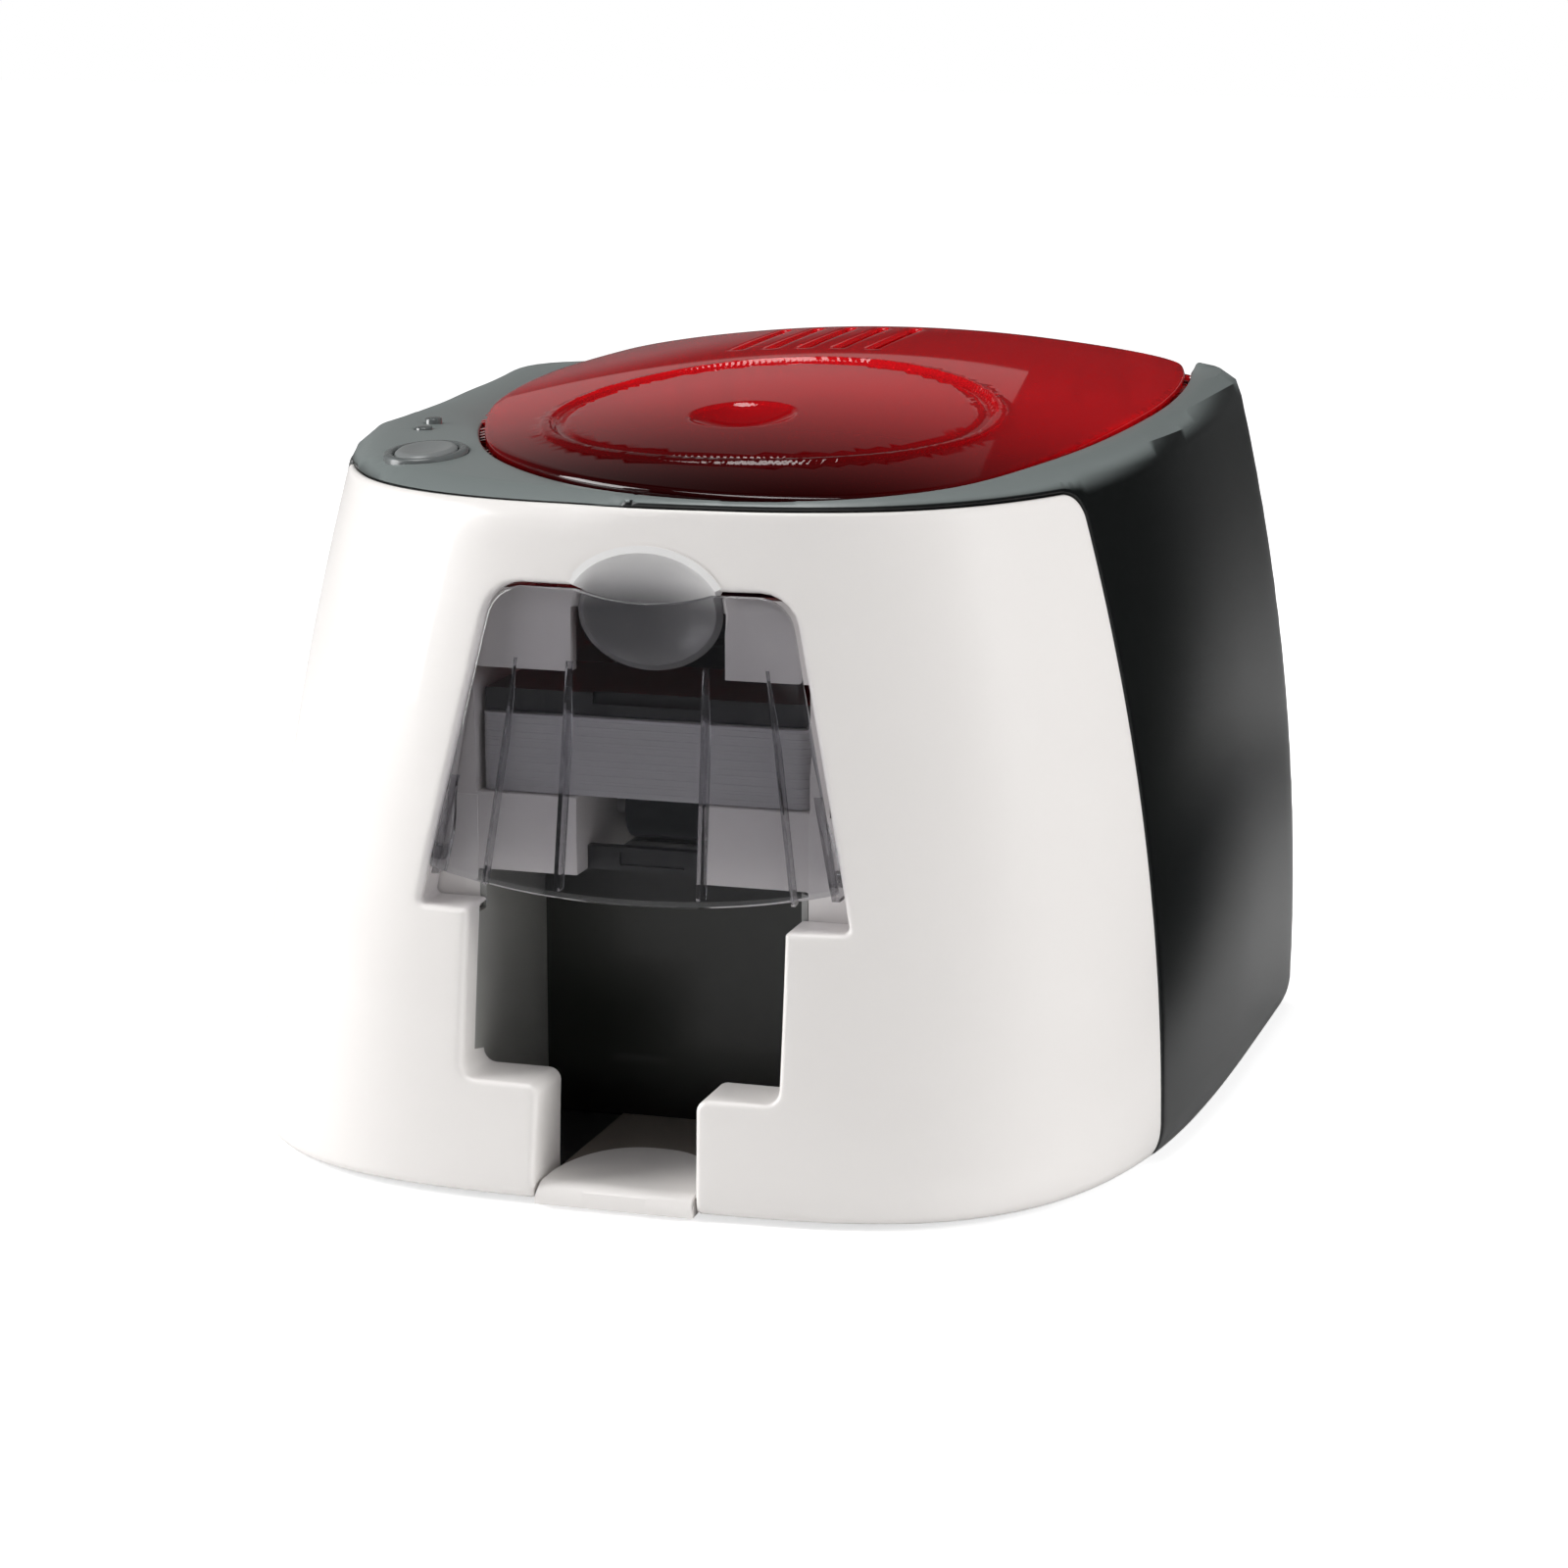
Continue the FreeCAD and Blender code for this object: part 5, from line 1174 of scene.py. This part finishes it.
for number, x in enumerate(HINGE_PLACES):
    under_z = under_dome(x, HINGE[0])
    profile = [(HINGE[0] + KNUCKLE_RADIUS, under_z), (HINGE[0] - KNUCKLE_RADIUS, under_z)]
    profile += oval_points(HINGE, (KNUCKLE_RADIUS, KNUCKLE_RADIUS),
                           np.linspace(math.pi, 2 * math.pi, KNUCKLE_STEPS))
    knuckle = [(x + dx, y, z) for dx in (-KNUCKLE_HALF, KNUCKLE_HALF) for y, z in profile]
    make_piece("cover_knuckle_%d" % number, knuckle, tube(len(profile), 2), *RED)

RIBS_X = (0.0, 5.0, 10.0)
RIB_HALF = 0.8
RIB_Y = (-47.5, -45.5)
RIB_DROP = 13.0
LATCH_X = 14.0
LATCH_HALF = 7.0
LATCH_Y = (-90.0, -87.6)
LATCH_LOW_Z = 160.0
LATCH_BEVEL = 0.6
BEVEL_ANGLE = 38


def soften(piece, width, segments=3):
    edges = piece.modifiers.new("moulded_edges", "BEVEL")
    edges.width = width * MM
    edges.segments = segments
    edges.limit_method = "ANGLE"
    edges.angle_limit = math.radians(BEVEL_ANGLE)
    edges.harden_normals = True


def slab(name, low, high, body, material, slot, replaced=(), bevel=0.4):
    """A block between two corners in millimetres, in any order, with bevelled edges."""
    (x0, x1), (y0, y1), (z0, z1) = (sorted(pair) for pair in zip(low, high))
    corners = [(x, y, z) for z in (z0, z1) for x, y in ((x0, y0), (x1, y0), (x1, y1), (x0, y1))]
    piece = make_piece(name, corners, tube(4, 2), body, material, slot, replaced)
    soften(piece, bevel)


for number, x in enumerate(RIBS_X):
    top_z = under_dome(x, RIB_Y[0])
    slab("cover_rib_%d" % number, (x - RIB_HALF, RIB_Y[0], top_z - RIB_DROP),
         (x + RIB_HALF, RIB_Y[1], top_z), *RED)
slab("cover_latch", (LATCH_X - LATCH_HALF, LATCH_Y[0], LATCH_LOW_Z),
     (LATCH_X + LATCH_HALF, LATCH_Y[1], under_dome(LATCH_X, LATCH_Y[0])), *RED, LATCH_BEVEL)

# Power button: a dished charcoal key in a raised oval bezel, with two status lenses beside it
BUTTON_HALF = (7.6, 11.0)
BUTTON_GAP = 0.3
BEZEL_RISE = 1.0
BUTTON_RISE = 1.6
BEZEL_DEPTH = 7.0
BEZEL_FLOOR = 1.2
BUTTON_TRAVEL = 1.2
ROUND_SHARP = 50
bezel_plastic = plastic("bezel_plastic", (0.12, 0.13, 0.13), 0.25, depth=0.05, dust=0.0)
key_plastic = plastic("key_plastic", (0.2, 0.21, 0.21), 0.3, depth=0.08, dust=0.0)


def turned(name, centre, profile, body, material, slot, replaced=(), steps=72, tilt=0.0):
    """An oval piece from a closed profile of (half x, half y, z), spun about an upright axis."""
    places = []
    for half_x, half_y, z in profile:
        for j in range(steps):
            angle = 2 * math.pi * j / steps
            y = centre[1] + half_y * math.sin(angle)
            places.append((centre[0] + half_x * math.cos(angle), y, z + tilt * (y - centre[1])))
    grid = np.arange(len(places)).reshape(len(profile), steps)
    faces = []
    for low, high in zip(grid, np.roll(grid, -1, 0)):
        faces += band(low, high)
    make_piece(name, places, faces, body, material, slot, replaced, ROUND_SHARP)


# The bezel's section: how far each point of its outer side lies in from the hole in the rim
# and below the top, then how far each of its inner side lies out from the key's gap
BEZEL_FIT = 0.05
BEZEL_OUTSIDE = ((0, BEZEL_DEPTH), (0, 0.9), (0.25, 0.3), (0.9, 0))
BEZEL_HOLE = -5.2
BEZEL_INSIDE = ((0.9, 0), (0.3, 0.25), (0, 0.8), (0, BEZEL_DEPTH - BEZEL_FLOOR),
                (BEZEL_HOLE, BEZEL_DEPTH - BEZEL_FLOOR), (BEZEL_HOLE, BEZEL_DEPTH))
bezel_z = rim_height(BUTTON[1]) + BEZEL_RISE
oval = [(BEZEL_HALF[0] - BEZEL_FIT - inset, BEZEL_HALF[1] - BEZEL_FIT - inset, bezel_z - drop)
        for inset, drop in BEZEL_OUTSIDE]
oval += [(BUTTON_HALF[0] + BUTTON_GAP + outset, BUTTON_HALF[1] + BUTTON_GAP + outset, bezel_z - drop)
         for outset, drop in BEZEL_INSIDE]
turned("button_bezel_ring", BUTTON, oval, "casing", bezel_plastic, "bezel_plastic", ("button_bezel",),
       tilt=rim_slope)
# The key's top is dished within a rounded edge
KEY_EDGE = 1.0
KEY_DISH = 0.9
KEY_DISH_SHARE = 1.3
KEY_EDGE_SHARE = 6
KEY_RINGS = 12
KEY_FIRST_SHARE = 0.02
LEAST_HALF = 0.01
key_low = bezel_z - BEZEL_DEPTH + BEZEL_FLOOR + BUTTON_TRAVEL + BUTTON_GAP
key_top = rim_height(BUTTON[1]) + BUTTON_RISE
key = [(LEAST_HALF, LEAST_HALF, key_low), (*BUTTON_HALF, key_low), (*BUTTON_HALF, key_top - KEY_EDGE)]
for share in np.linspace(KEY_FIRST_SHARE, 1, KEY_RINGS):
    drop = KEY_DISH * smooth_step(np.array(share * KEY_DISH_SHARE))
    edge_drop = KEY_EDGE * (1 - min(1, share * KEY_EDGE_SHARE)) ** 2
    half_x, half_y = (max(LEAST_HALF, half * (1 - share)) for half in BUTTON_HALF)
    key.append((half_x, half_y, key_top - edge_drop - float(drop)))
turned("power_key", BUTTON, key, "button", key_plastic, "button_plastic", ("power_button",), tilt=rim_slope)
lens_plastic = plastic("lens_plastic", (0.1, 0.11, 0.11), 0.12, depth=0.0, dust=0.0, gloss=0.5)
LENS_LENGTH = 6.0
LENS_RISE = 0.4
LENS_GAP = 0.1
LENS_STEPS = 32
LENS_SINK = 0.3
LENS_TURN = 0.3
LENS_RINGS = 5
lens_half = LENS_RADIUS - LENS_GAP
for number, place in enumerate(LENSES):
    z = rim_height(place[1]) - float(dish(place[1])) * LENS_SINK
    lens = [(LEAST_HALF, LEAST_HALF, z - LENS_LENGTH), (lens_half, lens_half, z - LENS_LENGTH),
            (lens_half, lens_half, z)]
    for angle in np.linspace(LENS_TURN, math.pi / 2, LENS_RINGS):
        half = lens_half * math.cos(angle) + LEAST_HALF
        lens.append((half, half, z + LENS_RISE * math.sin(angle)))
    turned("status_lens_%d" % number, place, lens, "casing", lens_plastic, "lens_plastic",
           ("status_lenses",), LENS_STEPS, rim_slope)

# Feeder door: a thin clear plate, faintly smoked, that follows the front, with ribs, cheeks
# and a pivot pin on each lower corner
DOOR_PROUD = 0.6
DOOR_WALL = 2.2
DOOR_SAG = 6.0
DIP_RADIUS = 60.0
DIP_DEPTH = 2.6
CHEEK = 2.0
# Each rib's place at the foot and at the head of the door, and its half width
DOOR_RIBS = ((-0.70, -0.765, 0.45), (-0.34, -0.417, 0.9), (0.34, 0.44, 0.9), (0.765, 0.81, 0.45))
DOOR_RIB_DEPTH = 3.6
DOOR_EDGE = 0.9
DOOR_STEP = 3.5
DOOR_FINE = 1.2
CORNER_STEPS = 8
DIP_STEPS = 19
SAG_STEPS = 40
PIVOT_Z = 85.5
PIVOT_BACK = 7.5
PIVOT = (middle_y - mix(FRONT_LOW, FRONT_HIGH, PIVOT_Z / SEAM_Z) + PIVOT_BACK, PIVOT_Z)
PIVOT_RADIUS = 2.0
PIVOT_REACH = 2.2
sag_radius = (DOOR_LOW_HALF ** 2 + DOOR_SAG ** 2) / (2 * DOOR_SAG)
sag_z = DOOR_LOW_Z + sag_radius
dip_z = DOOR_HIGH_Z + DIP_RADIUS - DIP_DEPTH
dip_half = math.sqrt(DIP_RADIUS ** 2 - (dip_z - DOOR_HIGH_Z) ** 2)


def front_surface(xz):
    """The door's outer face over its (x, z) outline."""
    x, z = xz[:, 0], xz[:, 1]
    share = z / SEAM_Z
    half = mix(HALF_LOW, HALF_HIGH, share) + 4 * BELLY * share * (1 - share)
    power = mix(*FRONT_POWER, share)
    y = middle_y - mix(FRONT_LOW, FRONT_HIGH, share) * (1 - (np.abs(x) / half) ** power) ** (1 / power)
    return np.stack([x, y - DOOR_PROUD, z], 1)


sag_low = sag_z - math.sqrt(sag_radius ** 2 - DOOR_LOW_HALF ** 2)
door_low_half = DOOR_LOW_HALF - door_lean * (sag_low - DOOR_LOW_Z)
sag_from = math.asin(door_low_half / sag_radius)
door_points = rounded([
    (DOOR_X + door_low_half, sag_low, 0), (DOOR_X + DOOR_HIGH_HALF, DOOR_HIGH_Z, DOOR_CORNER),
    (DOOR_X - DOOR_HIGH_HALF, DOOR_HIGH_Z, DOOR_CORNER), (DOOR_X - door_low_half, sag_low, 0)],
    CORNER_STEPS)
half_count = len(door_points) // 2
dip_from = math.asin(dip_half / DIP_RADIUS)
dip = [(SCOOP[0] + DIP_RADIUS * math.sin(a), dip_z - DIP_RADIUS * math.cos(a))
       for a in np.linspace(dip_from, -dip_from, DIP_STEPS)]
sag = [(DOOR_X + sag_radius * math.sin(a), sag_z - sag_radius * math.cos(a))
       for a in np.linspace(-sag_from, sag_from, SAG_STEPS)[1:-1]]
door_loop = np.concatenate([door_points[:half_count], dip, door_points[half_count:], sag])
places, faces = moulded_skin(door_loop, [], front_surface, DOOR_EDGE, DOOR_WALL, DOOR_STEP, DOOR_FINE)
smoke = clear_plastic("smoke_clear", (0.62, 0.615, 0.635), 0.03, 0.03)
SMOKE = ("door", smoke, "smoke_door", ("feeder_door",))
make_piece("feeder_door_plate", places, faces, *SMOKE)


def door_y(x, z):
    """Where the door's outer face lies at a point."""
    return float(front_surface(np.array([(x, z)]))[0, 1])


RIB_LOW_Z = DOOR_LOW_Z + 2.0
RIB_HIGH_Z = DOOR_HIGH_Z - 18.0
RIB_SPREAD = 1.08
RIB_STEPS = 24
RIB_TAPER_STEPS = 8.0
RIB_LEAST = 0.02
RIB_NARROW = 0.7
STRIP_SHARP = 30
for number, (low_share, high_share, half) in enumerate(DOOR_RIBS):
    low_x = DOOR_X + low_share * DOOR_LOW_HALF
    high_x = DOOR_X + high_share * DOOR_HIGH_HALF * RIB_SPREAD
    rib = []
    for i in range(RIB_STEPS + 1):
        share = i / RIB_STEPS
        x, z = mix(low_x, high_x, share), mix(RIB_LOW_Z, RIB_HIGH_Z, share)
        y = door_y(x, z)
        taper = min(1, (1 - share) * RIB_STEPS / RIB_TAPER_STEPS + RIB_LEAST)
        deep = mix(DOOR_WALL, DOOR_WALL + DOOR_RIB_DEPTH, taper)
        rib += [(x - half, y + DOOR_WALL, z), (x + half, y + DOOR_WALL, z),
                (x + half * RIB_NARROW, y + deep, z), (x - half * RIB_NARROW, y + deep, z)]
    make_piece("door_rib_%d" % number, rib, tube(4, RIB_STEPS + 1), *SMOKE, STRIP_SHARP)
pivot_half = DOOR_LOW_HALF - door_lean * (PIVOT[1] - DOOR_LOW_Z)
CHEEK_LOW_Z = 80.5
CHEEK_HIGH_Z = PIVOT[1] + 20.0
CHEEK_DEPTH = 3.0
CHEEK_FADE = 16.0
CHEEK_INSET = 0.8
CHEEK_LAP = 0.2
CHEEK_LEAST = 0.02
CHEEK_STEPS = 16
PIN_STEPS = 24
PIN_STRAIGHT = 0.85
PIN_END = 0.8
for label, side in SIDES:
    cheek = []
    for i in range(CHEEK_STEPS + 1):
        z = mix(CHEEK_LOW_Z, CHEEK_HIGH_Z, i / CHEEK_STEPS)
        edge_x = DOOR_X + side * (DOOR_LOW_HALF - door_lean * (z - DOOR_LOW_Z) - CHEEK_INSET)
        inner_x = edge_x - side * CHEEK
        y = door_y(edge_x, z) + DOOR_WALL - CHEEK_LAP
        fade = smooth_step(np.array(min(1.0, (CHEEK_HIGH_Z - z) / CHEEK_FADE)))
        deep = float(mix(y, PIVOT[0] + CHEEK_DEPTH, fade * (1 - CHEEK_LEAST) + CHEEK_LEAST))
        cheek += [(edge_x, y, z), (edge_x, deep, z), (inner_x, deep, z), (inner_x, y, z)]
    faces = tube(4, CHEEK_STEPS + 1)
    make_piece("door_cheek_" + label, cheek, faces if side > 0 else flip(faces), *SMOKE, STRIP_SHARP)
    x0 = DOOR_X + side * (pivot_half - CHEEK)
    x1 = DOOR_X + side * (pivot_half + PIVOT_REACH)
    pin = []
    for x, share in ((x0, 1), (mix(x0, x1, PIN_STRAIGHT), 1), (x1, PIN_END)):
        angles = [side * 2 * math.pi * j / PIN_STEPS for j in range(PIN_STEPS)]
        pin += [(x, y, z) for y, z in oval_points(PIVOT, [PIVOT_RADIUS * share] * 2, angles)]
    make_piece("door_pin_" + label, pin, tube(PIN_STEPS, 3), *SMOKE)

# The solids that already have their right form keep it, and get their own materials and, where
# they are moulded or cut plates, small rounded edges
DRESS_SHARP = 32


def dress(names, material, bevel=0.0, segments=2):
    """Give CAD nodes a material, smooth shading and, if asked, bevelled edges."""
    for name in names:
        node = nodes[name]
        node.data.materials.clear()
        node.data.materials.append(material)
        node.data.shade_smooth()
        node.data.set_sharp_from_angle(angle=math.radians(DRESS_SHARP))
        if bevel:
            soften(node, bevel, segments)


# Card bay: white cheeks and floor blocks with the stack of blank cards between them, all seen
# through the door. The cards are cut to the standard size, with round corners.
inner_white = plastic("inner_white", (0.74, 0.71, 0.69), 0.4, depth=0.06, dust=0.02)
dress(["card_bay"], inner_white, 0.5)
CARD_LENGTH = 85.6
CARD_WIDTH = 54.0
CARD_THICKNESS = 0.76
CARD_CORNER = 3.18
CARD_COUNT = 26
CARD_JOG = 0.1
CARD_JOG_TURN = 2.4
CARD_AIR = 0.015
CARD_CORNER_STEPS = 6
PATH_Z = 100.0
CARD_FRONT_Y = RECESS_BACK_Y + 2.6
card_plastic = plastic("card_plastic", (0.5, 0.49, 0.5), 0.32, depth=0.02, dust=0.0, drift=0.03)
card_loop = rounded([
    (-CARD_LENGTH / 2, 0, CARD_CORNER), (CARD_LENGTH / 2, 0, CARD_CORNER),
    (CARD_LENGTH / 2, CARD_WIDTH, CARD_CORNER), (-CARD_LENGTH / 2, CARD_WIDTH, CARD_CORNER)],
    CARD_CORNER_STEPS)
cards = []
card_faces = []
for number in range(CARD_COUNT):
    jog = CARD_JOG * math.sin(CARD_JOG_TURN * number)
    first = len(cards)
    for z in (CARD_AIR, CARD_THICKNESS - CARD_AIR):
        cards += [(BAY_X + jog + x, CARD_FRONT_Y - jog + y, PATH_Z + number * CARD_THICKNESS + z)
                  for x, y in card_loop]
    card_faces += [tuple(first + i for i in face) for face in tube(len(card_loop), 2)]
make_piece("blank_cards", cards, card_faces, "casing", card_plastic, "card_plastic", ("card_stack",))
black_plastic = plastic("black_plastic", (0.012, 0.012, 0.012), 0.35, depth=0.12, dust=0.1)
weight_plastic = plastic("weight_plastic", (0.004, 0.004, 0.005), 0.4, depth=0.05, dust=0.0, gloss=0.25)
dress(["card_weight", "card_sensor"], weight_plastic, 0.5)

# Output hopper: a thin black bin behind the stepped opening. Its side walls are painted
# mid grey and its floor pale brown with some dust: painted light, in place of the light on them.
LINER_WALL = 1.6
LINER_FLOOR = 0.8
LINER_FRONT_Y = STEP_Y - 8.5
LINER_FOOT_Y = STEP_Y + 0.3
LINER_BACK_Y = LINER_FOOT_Y + CARD_WIDTH - 8.0
LINER_HEAD_Y = RECESS_BACK_Y + 0.3
LINER_FLOOR_Y = SILL_FRONT_Y + 3.5
LINER_LOW_Z = 4.6
LINER_HIGH_Z = 79.7
LINER_STEP_Z = RECESS_Z - JAMB - 0.6
LINER_BEVEL = 0.02
bin_plastic = plastic("bin_plastic", (0.006, 0.006, 0.004), 0.38, depth=0.03, dust=0.02, gloss=0.1)
# Painted light: paler copies of the bin's black for its lit side walls and floor
wall_painted_light = plastic("bin_wall_plastic", (0.3, 0.3, 0.285), 0.3, depth=0.03, dust=0.1)
floor_painted_light = plastic("bin_floor_plastic", (0.17, 0.14, 0.12), 0.4, depth=0.05, dust=0.3)
LINER = ("black_plastic", ("hopper_liner",))
for label, side in SIDES:
    near = BAY_X + side * MOUTH_HALF
    far = near + side * LINER_WALL
    for part, front, low, high in (("wall", LINER_FRONT_Y, MOUTH_Z, LINER_STEP_Z),
                                   ("foot", LINER_FOOT_Y, LINER_LOW_Z, MOUTH_Z),
                                   ("head", LINER_HEAD_Y, LINER_STEP_Z, LINER_HIGH_Z)):
        slab("bin_%s_%s" % (part, label), (near, front, low), (far, LINER_BACK_Y, high),
             "casing", wall_painted_light, *LINER, LINER_BEVEL)
# Behind the door's lower corners the recess is closed by two white webs of the casing
WEB_HIGH_Z = PATH_Z - 1.0
WEB_GAP = 0.1
WEB_LAP = 2.0
WEB_Y = (RECESS_BACK_Y + 0.4, RECESS_BACK_Y + 2.0)
WEB_BEVEL = 0.1
for label, side in SIDES:
    near = BAY_X + side * (MOUTH_HALF + LINER_WALL + WEB_GAP)
    far = BAY_X + side * (recess_low_half + WEB_LAP)
    slab("recess_web_" + label, (near, WEB_Y[0], RECESS_Z - JAMB), (far, WEB_Y[1], WEB_HIGH_Z),
         *WHITE, WEB_BEVEL)
slab("bin_back", (BAY_X - MOUTH_HALF - LINER_WALL, LINER_BACK_Y, LINER_LOW_Z),
     (BAY_X + MOUTH_HALF + LINER_WALL, LINER_BACK_Y + LINER_WALL, LINER_HIGH_Z),
     "casing", bin_plastic, *LINER)
slab("bin_floor", (BAY_X - SLOT_HALF, LINER_FLOOR_Y, LINER_LOW_Z),
     (BAY_X + SLOT_HALF, LINER_BACK_Y, LINER_LOW_Z + LINER_FLOOR), "casing", floor_painted_light, *LINER)

# Rear panel with its grille, lock slot and two sockets, set in the casing's rear window
dress(["rear_panel"], dark_plastic, 0.3)
socket_metal = plastic("socket_metal", (0.62, 0.63, 0.64), 0.3, depth=0.02, dust=0.0, metal=1.0)
dress(["usb_socket"], socket_metal, 0.25)
dress(["power_socket"], black_plastic, 0.3)

# Base: a black pan screwed up into the casing, on four rubber feet
rubber = plastic("rubber", (0.022, 0.022, 0.022), 0.8, depth=0.3, scale=1600.0, dust=0.3)
dress(["base_pan"], black_plastic)
dress(["rubber_feet"], rubber, 0.8, 3)

# The card path: two steel plates tied by rods, with rollers, rails and gears between and
# beside them. Rollers are steel shafts in rubber sleeves, gears are pale acetal.
LINES_SCALE = 60.0
LINES_DETAIL = 6.0
LINES_SHARE = 0.85
LINES_ROUGH = (0.7, 1.4)


def brushed(name, colour, roughness, stretch=(1.0, 1.0, 60.0)):
    """Bare metal with fine brush lines along one axis."""
    look, tree, shader = add_look(name)
    spot = add_node(tree, "TexCoord").outputs["Object"]
    place = add_node(tree, "Mapping", {"Scale": stretch, "Vector": spot}).outputs[0]
    marks = add_node(tree, "TexNoise", {
        "Vector": place, "Scale": LINES_SCALE, "Detail": LINES_DETAIL}).outputs[0]
    feed(tree, shader, {
        "Base Color": mix_colours(tree, marks, tint(colour, LINES_SHARE), tint(colour)),
        "Roughness": ramp(tree, marks, 0, 1, *(roughness * share for share in LINES_ROUGH)),
        "Metallic": 1.0})
    return look


steel = brushed("brushed_steel", (0.6, 0.6, 0.6), 0.3)
dress(["side_plate_left", "side_plate_right"], steel, 0.2)
dress(["cross_rods", "idler_studs", "head_pivot_rod", "cover_hinge_pins", "housing_screws", "feed_shaft",
       "platen_shaft", "transfer_shaft", "pick_shaft", "pinch_shaft", "cleaning_shaft"], steel, 0.25)
motor_steel = brushed("motor_steel", (0.45, 0.45, 0.47), 0.38, (40.0, 1.0, 1.0))
dress(["drive_motor", "ribbon_motor"], motor_steel, 0.5)
roller_rubber = plastic("roller_rubber", (0.05, 0.055, 0.06), 0.7, depth=0.25, scale=1400.0, dust=0.05)
dress(["feed_sleeve", "platen_sleeve", "transfer_sleeve", "pick_sleeve", "pinch_sleeve"],
      roller_rubber, 0.4)
tack_roller = plastic("tack_roller", (0.35, 0.42, 0.46), 0.25, depth=0.02, dust=0.0)
dress(["cleaning_sleeve"], tack_roller, 0.4)
acetal = plastic("acetal", (0.75, 0.74, 0.69), 0.35, depth=0.05, dust=0.05)
dress(["pick_gear", "feed_gear", "platen_gear", "transfer_gear", "idler_gear_1", "idler_gear_2",
       "idler_gear_3", "motor_pinion", "ribbon_pinion", "takeup_gear"], acetal)
dress(["card_guides"], black_plastic, 0.3)

# The ribbon: two spools of dark dye film on pale cores, and the web between them that runs
# below the head
core_plastic = plastic("core_plastic", (0.7, 0.7, 0.68), 0.4, depth=0.05, dust=0.0)
dress(["takeup_core", "supply_core"], core_plastic, 0.3)
film_plastic = plastic("film_plastic", (0.03, 0.028, 0.05), 0.15, depth=0.02, scale=300.0, dust=0.0,
                       gloss=0.6)
dress(["takeup_film", "supply_film", "ribbon_film"], film_plastic)

# The print head: a ceramic strip under a finned sink on a steel carrier
ceramic = plastic("ceramic", (0.7, 0.68, 0.62), 0.3, depth=0.03, dust=0.0)
dress(["print_head"], ceramic, 0.2)
aluminium = brushed("aluminium", (0.75, 0.76, 0.78), 0.28)
dress(["head_heat_sink"], aluminium, 0.15)
dress(["head_carrier"], steel, 0.3)

# The main board stands upright behind the card path, with its chips soldered on
board_green = plastic("board_green", (0.01, 0.09, 0.035), 0.3, depth=0.04, scale=500.0, dust=0.05,
                      gloss=0.3)
dress(["circuit_board"], board_green, 0.15)
chip_black = plastic("chip_black", (0.02, 0.02, 0.022), 0.45, depth=0.1, dust=0.05)
dress(["board_chips"], chip_black, 0.3)
